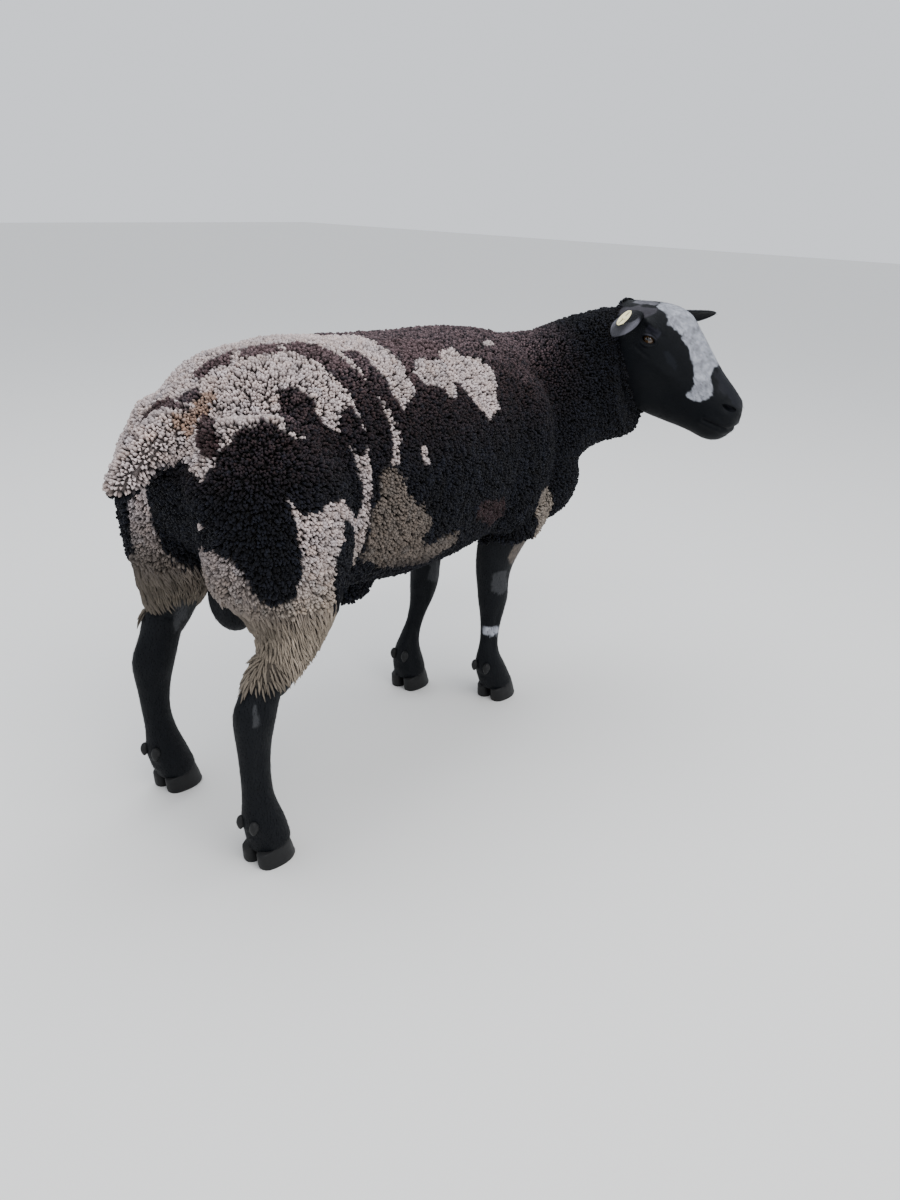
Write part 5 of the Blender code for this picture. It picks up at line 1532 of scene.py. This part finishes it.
for foot, (x, y) in FEET.items():
    for side, word in ((1, "left"), (-1, "right")):
        turn = Matrix.Rotation(side * math.radians(6), 3, "Z")
        middle = Vector((x, y + side * 0.019, 0.0))
        hoops = []
        for level, scale, back in CLAW_LEVELS:
            hoop = []
            for index, (along, out) in enumerate(CLAW_OUTLINE):
                after = CLAW_OUTLINE[(index + 1) % len(CLAW_OUTLINE)]
                beyond = CLAW_OUTLINE[(index + 2) % len(CLAW_OUTLINE)]
                before = CLAW_OUTLINE[index - 1]
                for share in (0.0, 0.5):
                    if share:
                        corners = zip((along, out), after, before, beyond)
                        spot = [(9 * (a + b) - c - d) / 16 for a, b, c, d in corners]
                    else:
                        spot = [along, out]
                    point = turn @ Vector((spot[0] * scale - back, side * spot[1] * scale, 0.0)) + middle
                    crown = CORONET_HEIGHT + (point.x - x) * math.tan(CORONET_SLOPE)
                    point.z = level if level < 0.1 else crown * level
                    hoop.append(point)
            hoops.append(np.array(hoop))
        claw = hooped(f"horn_{foot}_{word}", hoops)
        bpy.ops.object.shade_smooth_by_angle(angle=math.radians(50))
        done(claw, "hoof", horn, f"claw_{foot}_{word}")

# The dew claws: two small horn knobs behind each fetlock, blunt cones that point down and back.
DEW_CLAWS = {
    "hind_right": (-0.409, -0.148, 0.082),
    "hind_left": (-0.368, 0.146, 0.088),
    "fore_right": (0.312, -0.088, 0.088),
    "fore_left": (0.250, 0.086, 0.084),
}
for foot, (x, y, z) in DEW_CLAWS.items():
    for side, word in ((1, "left"), (-1, "right")):
        place = Vector((x, y + side * 0.015, z))
        knob = ball(f"dew_horn_{foot}_{word}", (0, 0, 0), (0.0085, 0.0075, 0.0125), 20, 14)
        for vertex in knob.data.vertices:
            low = min(max(-vertex.co.z / 0.0125, 0), 1)
            vertex.co.x = vertex.co.x * (1 - 0.35 * low) - 0.0020 * low
            vertex.co.y *= 1 - 0.30 * low
        knob.data.transform(Matrix.Translation(place))
        bpy.ops.object.shade_smooth()
        done(knob, "hoof", horn, f"dew_claw_{foot}_{word}")


# The studio: a plain pale floor, an even pale surround and large soft lights, seen from the place of
# the photograph's camera, behind the animal and above its right haunch.
bpy.ops.object.select_all(action="DESELECT")
bpy.ops.mesh.primitive_plane_add(size=40.0)
floor = bpy.context.object
floor.name = "studio_floor"
ground = Finish("studio_floor", Roughness=0.85)
ground.surface.inputs["Base Color"].default_value = (0.80, 0.795, 0.78, 1.0)
floor.data.materials.append(ground.material)

surround = bpy.data.worlds.new("studio")
surround.use_nodes = True
surround.node_tree.nodes["Background"].inputs["Color"].default_value = (0.80, 0.83, 0.88, 1.0)
surround.node_tree.nodes["Background"].inputs["Strength"].default_value = 1.25
bpy.context.scene.world = surround


def soft_light(name, place, target, size, watts, colour):
    lamp = bpy.data.lights.new(name, "AREA")
    lamp.shape = "RECTANGLE"
    lamp.size, lamp.size_y = size
    lamp.energy = watts
    lamp.color = colour
    holder = bpy.data.objects.new(name, lamp)
    bpy.context.scene.collection.objects.link(holder)
    holder.location = place
    holder.rotation_euler = (Vector(target) - Vector(place)).to_track_quat("-Z", "Y").to_euler()


soft_light("key", (-1.2, -2.2, 3.4), (0.0, 0.0, 0.5), (3.0, 2.4), 95.0, (1.0, 0.985, 0.96))
soft_light("top", (0.3, 0.8, 3.8), (0.0, 0.0, 0.4), (3.5, 3.0), 80.0, (0.95, 0.97, 1.0))

camera = bpy.data.cameras.new("camera")
camera.sensor_width = 36.0
camera.lens = FOCAL_PIXELS * camera.sensor_width / 1200
view = bpy.data.objects.new("camera", camera)
bpy.context.scene.collection.objects.link(view)
right, upward, forward = camera_axes()
turn = Matrix((right, upward, -forward)).transposed().to_4x4()
view.matrix_world = Matrix.Translation(CAMERA_PLACE - MIDDLE) @ turn
bpy.context.scene.camera = view
